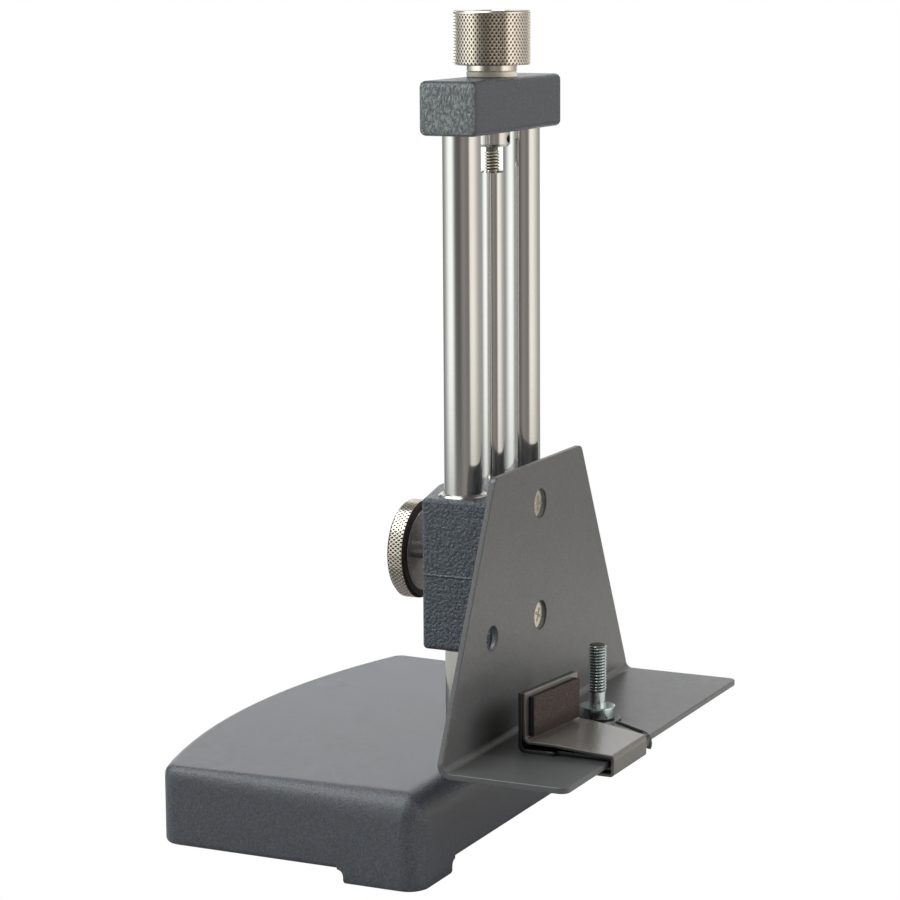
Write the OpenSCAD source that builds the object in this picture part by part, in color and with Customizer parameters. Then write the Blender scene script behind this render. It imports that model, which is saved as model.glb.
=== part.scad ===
// Surface gauge: a cast base carries two columns and a bar. A carriage with a bent face plate
// slides on the columns, is clamped to a centre rod, and the rod is fed by a knurled knob.
// Units are millimetres, +Z is up, the face plate looks along -Y and X runs along its shelf.
// The origin is the middle of the whole gauge's box, at the height of its feet.

/* [Base] */
// Width of the base along X
base_w = 171; // [150:1:200]
// Depth of the base's straight sides
base_side_d = 93; // [80:1:120]
// How far the back bows out behind the straight sides
base_bow = 14.5; // [6:0.5:20]
// Height of the base with its feet
base_h = 31; // [26:0.5:34]
// Distance from the columns to the base's front
base_front = 13.5; // [11:0.5:14]
// Radius of the base's upright corners
base_corner_r = 7; // [4:0.5:12]
// Radius of the base's top edge
base_edge_r = 4.5; // [1.5:0.5:5]
// Height of the three feet
foot_h = 4.6; // [4.6:0.1:7]
// Width of a foot along X
foot_w = 22.5; // [14:0.5:26]
// Depth of a front foot along Y
foot_d = 27; // [16:1:34]

/* [Columns] */
// Diameter of the two columns
column_d = 12.5; // [10:0.5:13]
// Distance between the columns' axes
column_spacing = 47; // [45:0.5:50]
// Free length of the columns, from the base to the bar
column_free_l = 202.5; // [185:0.5:260]
// Depth of the columns' seat in the base
column_seat = 14; // [10:0.5:15]
// Diameter of the screws that hold the columns from below
column_screw_d = 6; // [4:0.5:6]
// Length of those screws' thread inside the columns
column_screw_grip = 16; // [10:1:25]

/* [Top bar] */
// Length of the bar along X
bar_w = 69; // [64:1:80]
// Depth of the bar along Y
bar_d = 20.5; // [18:0.5:26]
// Height of the bar
bar_h = 17.5; // [15:0.5:22]
// Radius of the bar's edges
bar_edge_r = 2; // [1:0.25:3]
// Depth of the columns' seat in the bar
bar_seat = 11; // [8:0.5:12]
// Diameter of the grub screws behind the columns
grub_d = 5; // [3:0.5:6]

/* [Fine adjustment] */
// Diameter of the knurled knob
knob_d = 25.4; // [22:0.2:32]
// Height of the knob's knurled head
knob_h = 17.5; // [12:0.5:22]
// Diameter of the knob's neck and of the washer
neck_d = 16.6; // [14:0.2:20]
// Height of the knob's neck
neck_h = 2; // [1.5:0.25:5]
// Thickness of the washer under the knob
washer_t = 2; // [1:0.25:3]
// Diameter of the spindle's smooth part, in the bar
journal_d = 6; // [5.5:0.1:7]
// Diameter of the spindle's threaded part
spindle_d = 4.8; // [4:0.1:5.2]
// Length of the spindle's thread inside the rod
spindle_grip = 24; // [16:1:30]
// Wall of the bush that the spindle turns in
bush_wall = 2; // [1.5:0.25:3]
// Diameter of the set collar under the bar
collar_d = 12; // [11:0.5:16]
// Height of the set collar
collar_h = 5; // [4:0.5:8]
// Diameter of the collar's grub screw
collar_grub_d = 2.5; // [2:0.1:3]
// Diameter of the centre rod
rod_d = 8; // [7:0.25:10]
// Free thread between the set collar and the rod's end
rod_drop = 8; // [8:0.5:14]
// Depth of the tapped hole in the rod
rod_tap_l = 40; // [38:1:60]
// Distance from the base's top to the rod's lower end
rod_foot_gap = 10; // [9:0.5:20]

/* [Carriage] */
// Height of the carriage above the base
carriage_lift = 34.6; // [34.6:0.1:60]
// Width of the carriage block along X
block_w = 68; // [66:0.5:68]
// Height of the carriage block
block_h = 50.4; // [48:0.1:54]
// Height of the clamp over the block's underside
clamp_rise = 25.9; // [24:0.1:28]
// Distance from the columns to the block's front face
block_front = 15.25; // [14.5:0.25:18]
// Distance from the columns to the back of the block's ends
block_end_back = 10; // [8.5:0.25:12]
// Distance from the columns to the back of the block's middle
block_mid_back = 16.5; // [15:0.5:18]
// Half the width of the flat in the middle of the block's back
block_flat = 9; // [6:0.5:12]
// Radius of the block's edges
block_edge_r = 1.5; // [0.75:0.25:2]
// Outer diameter of the column bushes
column_bush_d = 16.4; // [16:0.2:16.6]
// Length of a column bush
column_bush_l = 14; // [10:0.5:18]
// How far a column bush stands out of the block
bush_proud = 0.6; // [0.4:0.1:1]

/* [Clamp] */
// Diameter of the clamp boss on the block
boss_d = 18; // [14:0.5:22]
// Distance from the columns to the boss's face
boss_back = 20; // [19:0.5:23]
// Diameter of the clamp screw's thread
clamp_screw_d = 6; // [5:0.25:6.5]
// Diameter of the clamp screw's shoulder
clamp_shoulder_d = 7; // [6.8:0.2:9]
// Distance from the boss to the clamp knob
clamp_gap = 5.3; // [3:0.1:8]
// Diameter of the clamp knob
clamp_knob_d = 33.5; // [28:0.5:40]
// Thickness of the clamp knob
clamp_knob_t = 6.8; // [5:0.2:10]
// Length of the pressure pad in front of the clamp screw
pressure_pad_l = 4; // [3:0.5:5]

/* [Face plate] */
// Width of the shelf
plate_w = 152; // [150:1:180]
// Width of the plate's top edge
plate_top_w = 70; // [60:1:90]
// Height of the plate
plate_h = 89.25; // [86:0.25:100]
// Depth of the shelf in front of the plate
shelf_d = 42.25; // [40:0.25:50]
// Thickness of the plate's sheet
plate_t = 2; // [1.5:0.1:2.5]
// Inside radius of the plate's bend
plate_bend_r = 2.5; // [1:0.25:4]
// Radius of the plate's corners
plate_corner_r = 3; // [1:0.5:5]
// How far the plate hangs below the block
plate_drop = 30.1; // [29:0.1:31]
// Distance of the plate's screws from the clamp's height
plate_screw_rise = 19; // [16:0.5:20]
// Diameter of the plate's screws
plate_screw_d = 5; // [4:0.25:5]
// Head diameter of the plate's screws
plate_screw_head_d = 9.2; // [8.6:0.1:9.4]
// Length of the plate's screws
plate_screw_l = 10; // [8:0.5:11]
// How deep the screws' heads sit below the plate's face
head_sink = 1; // [0:0.1:1.2]
// Clearance round the screws' heads in the plate, on the radius
head_room = 0.35; // [0.1:0.05:0.5]
// Diameter of the spare hole in the plate
spare_hole_d = 8; // [6:0.25:8]
// Distance of the spare hole from the plate's middle
spare_hole_x = 38.5; // [38.5:0.25:42]

/* [Clip] */
// Left edge of the clip, from the shelf's middle
clip_left = 44; // [30:1:60]
// Width of the clip's tab
tab_w = 34; // [28:0.5:36]
// Width of the clip at the shelf's front edge
clip_front_w = 28; // [24:0.5:32]
// Height of the tab above the shelf
tab_h = 19.6; // [16:0.2:26]
// Turn of the tab towards the front, in degrees
tab_turn = 6.6; // [0:0.2:8]
// Distance from the plate to the back of the tab
tab_gap = 11.45; // [10:0.05:14]
// Thickness of the clip's carrier
carrier_t = 1.4; // [1:0.1:1.8]
// Thickness of the clip's leaf
leaf_t = 1.1; // [0.8:0.1:1.5]
// Height of the leaf's top over the shelf, at the tab
leaf_rise = 4.1; // [3.6:0.1:6]
// Distance from the tab to the leaf's crease, on the left
leaf_level = 12.2; // [10:0.2:14]
// Length of the leaf's lip under the shelf
leaf_lip = 5; // [3:0.5:8]
// Inside radius of the leaf's bend into the tab
leaf_bend_r = 1; // [0.8:0.2:2]
// Thickness of the clip's pad
pad_t = 2.1; // [1.5:0.1:3]
// Width of the clip's pad
pad_w = 29.6; // [24:0.2:30]
// Distance from the plate's middle to the stud
stud_x = 2.3; // [1:0.1:8]
// Distance from the plate's front face to the stud
stud_y = 19.65; // [19:0.05:22]
// Diameter of the stud's thread
stud_d = 6; // [5:0.5:8]
// Length of the stud's thread
stud_thread_l = 16; // [10:0.5:30]
// Length of the stud's plain shank
stud_shank_l = 4.8; // [3:0.2:8]
// Diameter of the stud's round collar
stud_collar_d = 12; // [10:0.5:14]
// Height of the stud's round collar
stud_collar_h = 4.2; // [3:0.2:6]
// How far the carrier reaches round the stud's axis
lobe_r = 8; // [7.5:0.25:10]

/* [Hidden] */
// Clearance of what turns or slides, on the radius
running_gap = 0.05;
// Clearance of what is seated, on the radius or between faces
seat_gap = 0.01;
// Thickness of the slices that a rounded block is wrapped around
slice = 0.01;
// How far a cutting solid runs past the face that it opens
cut = 1;
// Step of the angles that a rounded edge is made in
edge_step = 22.5;
// Sections of a rounded corner of an outline
corner_n = 8;

// Heights
base_top = base_h;
bar_z = base_top + column_free_l;
bar_top = bar_z + bar_h;
column_z = base_top - column_seat;
column_top = bar_z + bar_seat;
block_z = base_top + carriage_lift;
block_top = block_z + block_h;
clamp_z = block_z + clamp_rise;
plate_z = block_z - plate_drop;
plate_top = plate_z + plate_h;
shelf_top = plate_z + plate_t;
collar_z = bar_z - collar_h;
rod_top = collar_z - rod_drop;
rod_z = base_top + rod_foot_gap;
neck_z = bar_top + washer_t;
head_z = neck_z + neck_h;

// Places along Y, from the columns' plane
plate_back = -block_front;
plate_face = plate_back - plate_t;
shelf_edge = plate_face - shelf_d;
lip_face = shelf_edge - running_gap - carrier_t;
leaf_face = lip_face - seat_gap - leaf_t;
base_side_back = base_side_d - base_front;
base_back = base_side_back + base_bow;
tab_back = plate_face - tab_gap;
leaf_back = tab_back - carrier_t - seat_gap;
crease_y = tab_back - leaf_level;
stud_axis_y = plate_face - stud_y;
column_x = column_spacing / 2;
block_side_x = block_w / 2;

// The columns' plane lies where the gauge's whole box is centred on the origin
columns_y = -(base_back + leaf_face) / 2;

$fn = 64;

cast_paint = [0.27, 0.29, 0.33];
sheet_paint = [0.36, 0.36, 0.37];
ground_steel = [0.74, 0.73, 0.71];
nickel = [0.78, 0.75, 0.69];
zinc = [0.70, 0.75, 0.76];
bronze = [0.66, 0.52, 0.32];
brass = [0.78, 0.66, 0.38];
dark_steel = [0.22, 0.22, 0.23];
leaf_paint = [0.38, 0.36, 0.35];
pad_brown = [0.35, 0.28, 0.25];

// Points of a rounded corner at p, between the points a and b, with radius r
function corner_arc(a, p, b, r) = let(
    u = (a - p) / norm(a - p),
    v = (b - p) / norm(b - p),
    half = acos(u * v) / 2,
    centre = p + (u + v) / norm(u + v) * r / sin(half),
    first = p + u * r / tan(half) - centre,
    turn = 180 - 2 * half,
    way = sign(u[0] * v[1] - u[1] * v[0])
) [for (i = [0 : corner_n]) let(t = -way * turn * i / corner_n)
    centre + [first[0] * cos(t) - first[1] * sin(t), first[0] * sin(t) + first[1] * cos(t)]];

// An outline through points, each [x, y, radius of its corner]
function rounded(points) = let(n = len(points)) [for (i = [0 : n - 1]) let(
    p = points[i],
    a = points[(i + n - 1) % n],
    b = points[(i + 1) % n]
) each p[2] > 0 ? corner_arc([a[0], a[1]], [p[0], p[1]], [b[0], b[1]], p[2]) : [[p[0], p[1]]]];

// Everything is drawn from the columns' plane and set down in the gauge's frame
module from_columns() {
    translate([0, columns_y, 0]) children();
}

// A body along Y, turned from a profile of [radius, distance]
module turned_along_y() {
    rotate([-90, 0, 0]) rotate_extrude() children();
}

// A solid of a convex outline whose top and bottom edges are rounded
module soft_slab(h, r_top, r_bottom) {
    hull() {
        translate([0, 0, r_bottom]) linear_extrude(h - r_top - r_bottom) children();
        for (a = [edge_step : edge_step : 90]) {
            translate([0, 0, h - r_top + r_top * sin(a) - slice])
                linear_extrude(slice) offset(delta = -r_top * (1 - cos(a))) children();
            translate([0, 0, r_bottom - r_bottom * sin(a)])
                linear_extrude(slice) offset(delta = -r_bottom * (1 - cos(a))) children();
        }
    }
}

// Base: outline with straight front and sides and a bowed back
bow_r = (pow(base_w / 2, 2) + pow(base_bow, 2)) / (2 * base_bow);
bow_n = 12;
bow_half = asin(base_w / 2 / bow_r);
bow_points = [for (i = [1 : bow_n - 1]) let(t = bow_half * (1 - 2 * i / bow_n))
    [bow_r * sin(t), base_back - bow_r * (1 - cos(t)), 0]];
base_points = concat(
    [[-base_w / 2, -base_front, base_corner_r], [base_w / 2, -base_front, base_corner_r],
     [base_w / 2, base_side_back, base_corner_r]],
    bow_points,
    [[-base_w / 2, base_side_back, base_corner_r]]);

// Room that the column screws' heads take in the base
screw_head_d = 1.6 * column_screw_d;
screw_web = 6;
screw_floor = column_z - screw_web;
screw_shank_d = column_screw_d + 2 * seat_gap;
screw_head_room = 0.5;
foot_draft = 2.5;
foot_root = 1.5;
base_bottom_r = 1;

module foot(w, d) {
    hull() {
        linear_extrude(slice) square([w, d], center = true);
        translate([0, 0, foot_h + foot_root])
            linear_extrude(slice) square([w + foot_draft, d + foot_draft], center = true);
    }
}

module base_casting() {
    front_foot_x = (base_w - foot_w - foot_draft) / 2 - slice;
    front_foot_y = (foot_d + foot_draft) / 2 - base_front + slice;
    back_foot_y = base_back - (foot_w + foot_draft) / 2 - base_corner_r / 2;
    color(cast_paint) from_columns() difference() {
        union() {
            translate([0, 0, foot_h])
                soft_slab(base_h - foot_h, base_edge_r, base_bottom_r) polygon(rounded(base_points));
            intersection() {
                linear_extrude(base_h / 2) polygon(rounded(base_points));
                union() {
                    for (side = [-1, 1])
                        translate([side * front_foot_x, front_foot_y, 0]) foot(foot_w, foot_d);
                    translate([0, back_foot_y, 0]) foot(foot_d, foot_w);
                }
            }
        }
        for (side = [-1, 1]) translate([side * column_x, 0, 0]) {
            translate([0, 0, column_z]) cylinder(h = base_h, d = column_d + 2 * seat_gap);
            cylinder(h = base_h, d = screw_shank_d);
            cylinder(h = screw_floor, d = screw_head_d + 2 * screw_head_room);
        }
    }
}

// Columns, with the tapped hole for the screw that holds each from below
column_chamfer = 0.8;
tap_rest = 2;

module column(side) {
    l = column_top - column_z;
    color(ground_steel) from_columns() translate([side * column_x, 0, column_z])
        difference() {
            rotate_extrude() polygon([[0, 0], [column_d / 2 - column_chamfer, 0],
                [column_d / 2, column_chamfer], [column_d / 2, l - column_chamfer],
                [column_d / 2 - column_chamfer, l], [0, l]]);
            translate([0, 0, -cut]) cylinder(h = column_screw_grip + tap_rest + cut, d = screw_shank_d);
        }
}

module column_screws() {
    head_h = column_screw_d;
    socket_d = 0.83 * column_screw_d;
    color(dark_steel) from_columns() for (side = [-1, 1]) translate([side * column_x, 0, 0])
        difference() {
            union() {
                translate([0, 0, screw_floor - head_h - seat_gap]) cylinder(h = head_h, d = screw_head_d);
                translate([0, 0, screw_floor - head_h / 2])
                    cylinder(h = screw_web + column_screw_grip + head_h / 2, d = column_screw_d);
            }
            translate([0, 0, screw_floor - head_h - cut])
                cylinder(h = cut + head_h / 2, d = socket_d, $fn = 6);
        }
}

// Top bar, with the columns' seats below, the bush's bore and the grub screws' holes behind
bar_points = [[-bar_w / 2, -bar_d / 2, bar_edge_r], [bar_w / 2, -bar_d / 2, bar_edge_r],
    [bar_w / 2, bar_d / 2, bar_edge_r], [-bar_w / 2, bar_d / 2, bar_edge_r]];
bar_bush_d = journal_d + 2 * running_gap + 2 * bush_wall;
grub_z = bar_z + bar_seat / 2;
grub_sink = 0.3;
grub_l = bar_d / 2 - column_d / 2 - seat_gap - grub_sink;

module top_bar() {
    color(cast_paint) from_columns() difference() {
        translate([0, 0, bar_z]) soft_slab(bar_h, bar_edge_r, bar_edge_r) polygon(rounded(bar_points));
        for (side = [-1, 1]) translate([side * column_x, 0, 0]) {
            translate([0, 0, bar_z - cut])
                cylinder(h = bar_seat + cut + seat_gap, d = column_d + 2 * seat_gap);
            translate([0, 0, grub_z]) rotate([-90, 0, 0]) cylinder(h = bar_d, d = grub_d + 2 * seat_gap);
        }
        translate([0, 0, bar_z - cut]) cylinder(h = bar_h + 2 * cut, d = bar_bush_d + 2 * seat_gap);
    }
}

module bar_grub_screws() {
    color(dark_steel) from_columns() for (side = [-1, 1])
        translate([side * column_x, column_d / 2 + seat_gap, grub_z]) rotate([-90, 0, 0])
            difference() {
                cylinder(h = grub_l, d = grub_d);
                translate([0, 0, grub_l / 2]) cylinder(h = grub_l, d = grub_d / 2, $fn = 6);
            }
}

module bar_bush() {
    color(bronze) from_columns() translate([0, 0, bar_z]) difference() {
        cylinder(h = bar_h, d = bar_bush_d);
        translate([0, 0, -cut]) cylinder(h = bar_h + 2 * cut, d = journal_d + 2 * running_gap);
    }
}

module thrust_washer() {
    color(ground_steel) from_columns() translate([0, 0, bar_top + seat_gap]) difference() {
        cylinder(h = washer_t - 2 * seat_gap, d = neck_d);
        translate([0, 0, -cut]) cylinder(h = washer_t + 2 * cut, d = journal_d + 2 * running_gap);
    }
}

// Knob, spindle and set collar turn together
knob_chamfer = 0.8;
knob_dimple = 0.8;
journal_top = head_z + knob_h / 2;
spindle_z = rod_top - spindle_grip;

module adjusting_knob() {
    color(nickel) from_columns() difference() {
        translate([0, 0, neck_z + running_gap]) rotate_extrude() polygon([
            [0, 0], [neck_d / 2, 0], [neck_d / 2, neck_h], [knob_d / 2 - knob_chamfer, neck_h],
            [knob_d / 2, neck_h + knob_chamfer], [knob_d / 2, neck_h + knob_h - knob_chamfer],
            [knob_d / 2 - knob_chamfer, neck_h + knob_h],
            [knob_d / 4, neck_h + knob_h], [knob_d / 4 - knob_dimple, neck_h + knob_h - knob_dimple],
            [0, neck_h + knob_h - knob_dimple]]);
        translate([0, 0, neck_z - cut])
            cylinder(h = journal_top - neck_z + cut, d = journal_d + 2 * seat_gap);
    }
}

module spindle() {
    tip = 0.6;
    color(ground_steel) from_columns() rotate_extrude() polygon([
        [0, spindle_z], [spindle_d / 2 - tip, spindle_z], [spindle_d / 2, spindle_z + tip],
        [spindle_d / 2, collar_z], [journal_d / 2, collar_z], [journal_d / 2, journal_top - seat_gap],
        [0, journal_top - seat_gap]]);
}

collar_grub_z = bar_z - running_gap - collar_h / 2;
collar_chamfer = 0.8;

module set_collar() {
    color(ground_steel) from_columns() difference() {
        translate([0, 0, collar_z]) rotate_extrude() polygon([[0, 0],
            [collar_d / 2 - collar_chamfer, 0], [collar_d / 2, collar_chamfer],
            [collar_d / 2, collar_h - running_gap], [0, collar_h - running_gap]]);
        translate([0, 0, collar_z - cut]) cylinder(h = collar_h + 2 * cut, d = journal_d + 2 * seat_gap);
        translate([0, 0, collar_grub_z]) rotate([90, 0, 0])
            cylinder(h = collar_d, d = collar_grub_d + 2 * seat_gap);
    }
}

module collar_grub_screw() {
    sink = 0.5;
    l = (collar_d - journal_d) / 2 - sink;
    color(dark_steel) from_columns() translate([0, -journal_d / 2 - seat_gap, collar_grub_z])
        rotate([90, 0, 0]) difference() {
            cylinder(h = l, d = collar_grub_d);
            translate([0, 0, l / 2]) cylinder(h = l, d = collar_grub_d / 2, $fn = 6);
        }
}

// Centre rod, tapped for the spindle
module centre_rod() {
    rod_chamfer = 0.6;
    l = rod_top - rod_z;
    color(ground_steel) from_columns() translate([0, 0, rod_z]) difference() {
        rotate_extrude() polygon([[0, 0], [rod_d / 2 - rod_chamfer, 0], [rod_d / 2, rod_chamfer],
            [rod_d / 2, l - rod_chamfer], [rod_d / 2 - rod_chamfer, l], [0, l]]);
        translate([0, 0, l - rod_tap_l]) cylinder(h = rod_tap_l + cut, d = spindle_d + 2 * running_gap);
    }
}

// Carriage block: flat front, square ends and a back that tapers out to the clamp boss
block_points = [[-block_side_x, -block_front, block_edge_r], [block_side_x, -block_front, block_edge_r],
    [block_side_x, block_end_back, block_edge_r], [block_flat, block_mid_back, block_edge_r],
    [-block_flat, block_mid_back, block_edge_r], [-block_side_x, block_end_back, block_edge_r]];
column_relief = 0.7;
column_relief_d = column_d + 2 * column_relief;
boss_root = block_mid_back - block_edge_r;

// Cone of the plate screws' heads, and how far it reaches into the block behind the plate
head_cone = (plate_screw_head_d - plate_screw_d) / 2;
screw_lead = max(seat_gap, head_cone + head_sink + seat_gap - plate_t);

module carriage_block() {
    color(cast_paint) from_columns() difference() {
        union() {
            translate([0, 0, block_z])
                soft_slab(block_h, block_edge_r, block_edge_r) polygon(rounded(block_points));
            translate([0, boss_root, clamp_z]) rotate([-90, 0, 0])
                cylinder(h = boss_back - boss_root, d = boss_d);
        }
        for (side = [-1, 1]) translate([side * column_x, 0, 0]) {
            translate([0, 0, block_z - cut]) cylinder(h = block_h + 2 * cut, d = column_relief_d);
            for (z = [block_z - cut, block_top + bush_proud - column_bush_l])
                translate([0, 0, z])
                    cylinder(h = column_bush_l - bush_proud + cut, d = column_bush_d + 2 * seat_gap);
        }
        translate([0, 0, block_z - cut]) cylinder(h = block_h + 2 * cut, d = rod_d + 2 * running_gap);
        translate([0, 0, clamp_z]) rotate([-90, 0, 0])
            cylinder(h = boss_back + cut, d = clamp_screw_d + 2 * running_gap);
        for (rise = [-plate_screw_rise, plate_screw_rise])
            translate([0, -block_front - cut, clamp_z + rise]) rotate([-90, 0, 0])
                cylinder(h = plate_screw_l + cut, d = plate_screw_d + 2 * seat_gap);
        for (rise = [-plate_screw_rise, plate_screw_rise])
            translate([0, -block_front, clamp_z + rise]) turned_along_y() polygon([
                [0, -cut], [plate_screw_d / 2 + seat_gap + screw_lead + cut, -cut],
                [plate_screw_d / 2 + seat_gap, screw_lead], [0, screw_lead]]);
    }
}

module column_bush(side, z) {
    lead = 0.5;
    bore_r = column_d / 2 + running_gap;
    color(bronze) from_columns() translate([side * column_x, 0, z]) rotate_extrude() polygon([
        [bore_r + lead, 0], [column_bush_d / 2, 0], [column_bush_d / 2, column_bush_l],
        [bore_r + lead, column_bush_l], [bore_r, column_bush_l - lead], [bore_r, lead]]);
}

// Clamp: knob and screw turn in the boss and press the pad on the rod
pad_front = rod_d / 2 + running_gap;
pad_back = pad_front + pressure_pad_l;
knob_front = boss_back + clamp_gap;
pad_play = 0.02;
pad_slack = 0.2;

module pressure_pad() {
    color(brass) from_columns() translate([0, pad_front, clamp_z]) rotate([-90, 0, 0])
        cylinder(h = pressure_pad_l - pad_play, d = clamp_screw_d - 2 * pad_slack);
}

module clamp_screw() {
    tip = 0.5;
    shoulder_gap = 0.5;
    shoulder_y = boss_back + shoulder_gap;
    end_y = knob_front + clamp_knob_t / 2;
    color(dark_steel) from_columns() translate([0, 0, clamp_z]) turned_along_y() polygon([
        [0, pad_back], [clamp_screw_d / 2 - tip, pad_back], [clamp_screw_d / 2, pad_back + tip],
        [clamp_screw_d / 2, shoulder_y], [clamp_shoulder_d / 2, shoulder_y],
        [clamp_shoulder_d / 2, end_y], [0, end_y]]);
}

module clamp_knob() {
    edge = 0.8;
    bore_d = clamp_shoulder_d + 2 * seat_gap;
    color(nickel) from_columns() translate([0, knob_front, clamp_z]) turned_along_y() polygon([
        [bore_d / 2, 0], [clamp_knob_d / 2 - edge, 0], [clamp_knob_d / 2, edge],
        [clamp_knob_d / 2, clamp_knob_t - edge], [clamp_knob_d / 2 - edge, clamp_knob_t],
        [0, clamp_knob_t], [0, clamp_knob_t / 2 + seat_gap], [bore_d / 2, clamp_knob_t / 2 + seat_gap]]);
}

// Face plate: sheet bent to a shelf, with an upright that narrows to its top
plate_outline = rounded([
    [-plate_w / 2, plate_z - cut, 0], [plate_w / 2, plate_z - cut, 0],
    [plate_w / 2, shelf_top + plate_bend_r, 0], [plate_top_w / 2, plate_top, plate_corner_r],
    [-plate_top_w / 2, plate_top, plate_corner_r], [-plate_w / 2, shelf_top + plate_bend_r, 0]]);
shelf_outline = rounded([
    [-plate_w / 2, shelf_edge, plate_corner_r], [plate_w / 2, shelf_edge, plate_corner_r],
    [plate_w / 2, plate_back + cut, 0], [-plate_w / 2, plate_back + cut, 0]]);
plate_outer_r = plate_bend_r + plate_t;
spare_chamfer = 0.4;

// The sheet's section: [distance from the columns' plane, height]
module plate_section() {
    bend = [plate_face - plate_bend_r, shelf_top + plate_bend_r];
    translate([bend[0], bend[1]]) intersection() {
        difference() {
            circle(plate_outer_r);
            circle(plate_bend_r);
        }
        translate([0, -plate_outer_r]) square(plate_outer_r);
    }
    translate([plate_face, bend[1]]) square([plate_t, plate_top - bend[1]]);
    translate([shelf_edge, plate_z]) square([bend[0] - shelf_edge, plate_t]);
}

module face_plate() {
    color(sheet_paint) from_columns() difference() {
        intersection() {
            rotate([90, 0, 90]) translate([0, 0, -plate_w / 2]) linear_extrude(plate_w) plate_section();
            translate([0, plate_back, 0]) rotate([90, 0, 0])
                linear_extrude(shelf_d + plate_t) polygon(plate_outline);
            linear_extrude(plate_top) polygon(shelf_outline);
        }
        for (rise = [-plate_screw_rise, plate_screw_rise])
            translate([0, plate_face, clamp_z + rise]) turned_along_y() polygon([
                [0, -cut], [plate_screw_head_d / 2 + head_room, -cut],
                [plate_screw_head_d / 2 + head_room, head_sink - head_room + seat_gap],
                [plate_screw_d / 2 + seat_gap, head_cone + head_sink],
                [plate_screw_d / 2 + seat_gap, max(plate_t, head_cone + head_sink) + cut],
                [0, max(plate_t, head_cone + head_sink) + cut]]);
        translate([-spare_hole_x, plate_face, clamp_z - plate_screw_rise]) turned_along_y() polygon([
            [0, -cut], [spare_hole_d / 2 + spare_chamfer, -cut], [spare_hole_d / 2 + spare_chamfer, 0],
            [spare_hole_d / 2, spare_chamfer], [spare_hole_d / 2, plate_t + cut], [0, plate_t + cut]]);
    }
}

module plate_screws() {
    cross_w = 1.1;
    cross_l = 0.52 * plate_screw_head_d;
    cross_depth = 1.8;
    tip = 0.8;
    end = plate_screw_l - seat_gap;
    color(nickel) from_columns() for (rise = [-plate_screw_rise, plate_screw_rise])
        translate([0, plate_face + head_sink, clamp_z + rise]) difference() {
            turned_along_y() polygon([[0, 0], [plate_screw_head_d / 2, 0],
                [plate_screw_d / 2, head_cone], [plate_screw_d / 2, end - tip],
                [plate_screw_d / 2 - tip, end], [0, end]]);
            for (turn = [0, 90]) rotate([0, turn, 0])
                translate([-cross_l / 2, -cut, -cross_w / 2])
                    cube([cross_l, cut + cross_depth, cross_w]);
        }
}

// Clip: its plan is measured from the shelf's middle and the columns' plane
tab_dir = [cos(tab_turn), -sin(tab_turn)];
tab_start = [-clip_left, tab_back];
leaf_start = [-clip_left, leaf_back];
leaf_end = leaf_start + tab_w * tab_dir;
front_right_x = -clip_left + clip_front_w;
leaf_top = shelf_top + leaf_rise;
leaf_low_top = shelf_top + carrier_t + seat_gap + leaf_t;
hook_low = plate_z - running_gap - carrier_t;
hook_reach = 4;
lip_top = hook_low - seat_gap;
carrier_reach = 6;
leaf_edge = 0.6;
hook_edge = 0.5;
pad_margin = 1.3;

// Sets what is drawn in the tab's own directions down at one of its corners
module along_tab(start) {
    translate([start[0], start[1], 0]) rotate([0, 0, -tab_turn]) children();
}

module clip_carrier() {
    carrier_z = shelf_top + running_gap;
    carrier_top = carrier_z + carrier_t - running_gap;
    tab_end = tab_start + tab_w * tab_dir;
    reach_x = front_right_x + carrier_reach;
    color(dark_steel) from_columns() difference() {
        union() {
            translate([0, 0, carrier_z]) linear_extrude(carrier_t - running_gap) union() {
                polygon([tab_start, tab_end, [stud_x, stud_axis_y + lobe_r], [stud_x, stud_axis_y],
                    [stud_x - lobe_r / 2, stud_axis_y - lobe_r], [reach_x, lip_face + carrier_t],
                    [reach_x, lip_face], [-clip_left, lip_face]]);
                translate([stud_x, stud_axis_y]) circle(lobe_r);
            }
            rotate([90, 0, 90]) translate([0, 0, -clip_left]) linear_extrude(reach_x + clip_left)
                polygon([[lip_face, hook_low], [shelf_edge + hook_reach, hook_low],
                    [shelf_edge + hook_reach, hook_low + carrier_t],
                    [lip_face + carrier_t, hook_low + carrier_t],
                    [lip_face + carrier_t, carrier_top], [lip_face, carrier_top]]);
            along_tab(tab_start) translate([0, -carrier_t, carrier_z])
                cube([tab_w, carrier_t, tab_h - running_gap]);
        }
        translate([stud_x, stud_axis_y, carrier_z - cut])
            cylinder(h = carrier_t + 2 * cut, d = stud_d + 2 * seat_gap);
    }
}

// The leaf: level beside the tab, creased down to the shelf's edge and hooked under it
module leaf_section() {
    top_y = [leaf_back, crease_y, leaf_face];
    polygon([
        [top_y[0], leaf_top], [top_y[1], leaf_top], [top_y[2] + leaf_edge, leaf_low_top],
        [top_y[2], leaf_low_top - leaf_edge], [top_y[2], lip_top - leaf_t + hook_edge],
        [top_y[2] + hook_edge, lip_top - leaf_t], [top_y[2] + leaf_t + leaf_lip, lip_top - leaf_t],
        [top_y[2] + leaf_t + leaf_lip, lip_top], [top_y[2] + leaf_t, lip_top],
        [top_y[2] + leaf_t, leaf_low_top - leaf_t], [top_y[1], leaf_top - leaf_t],
        [top_y[0], leaf_top - leaf_t]]);
}

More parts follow.
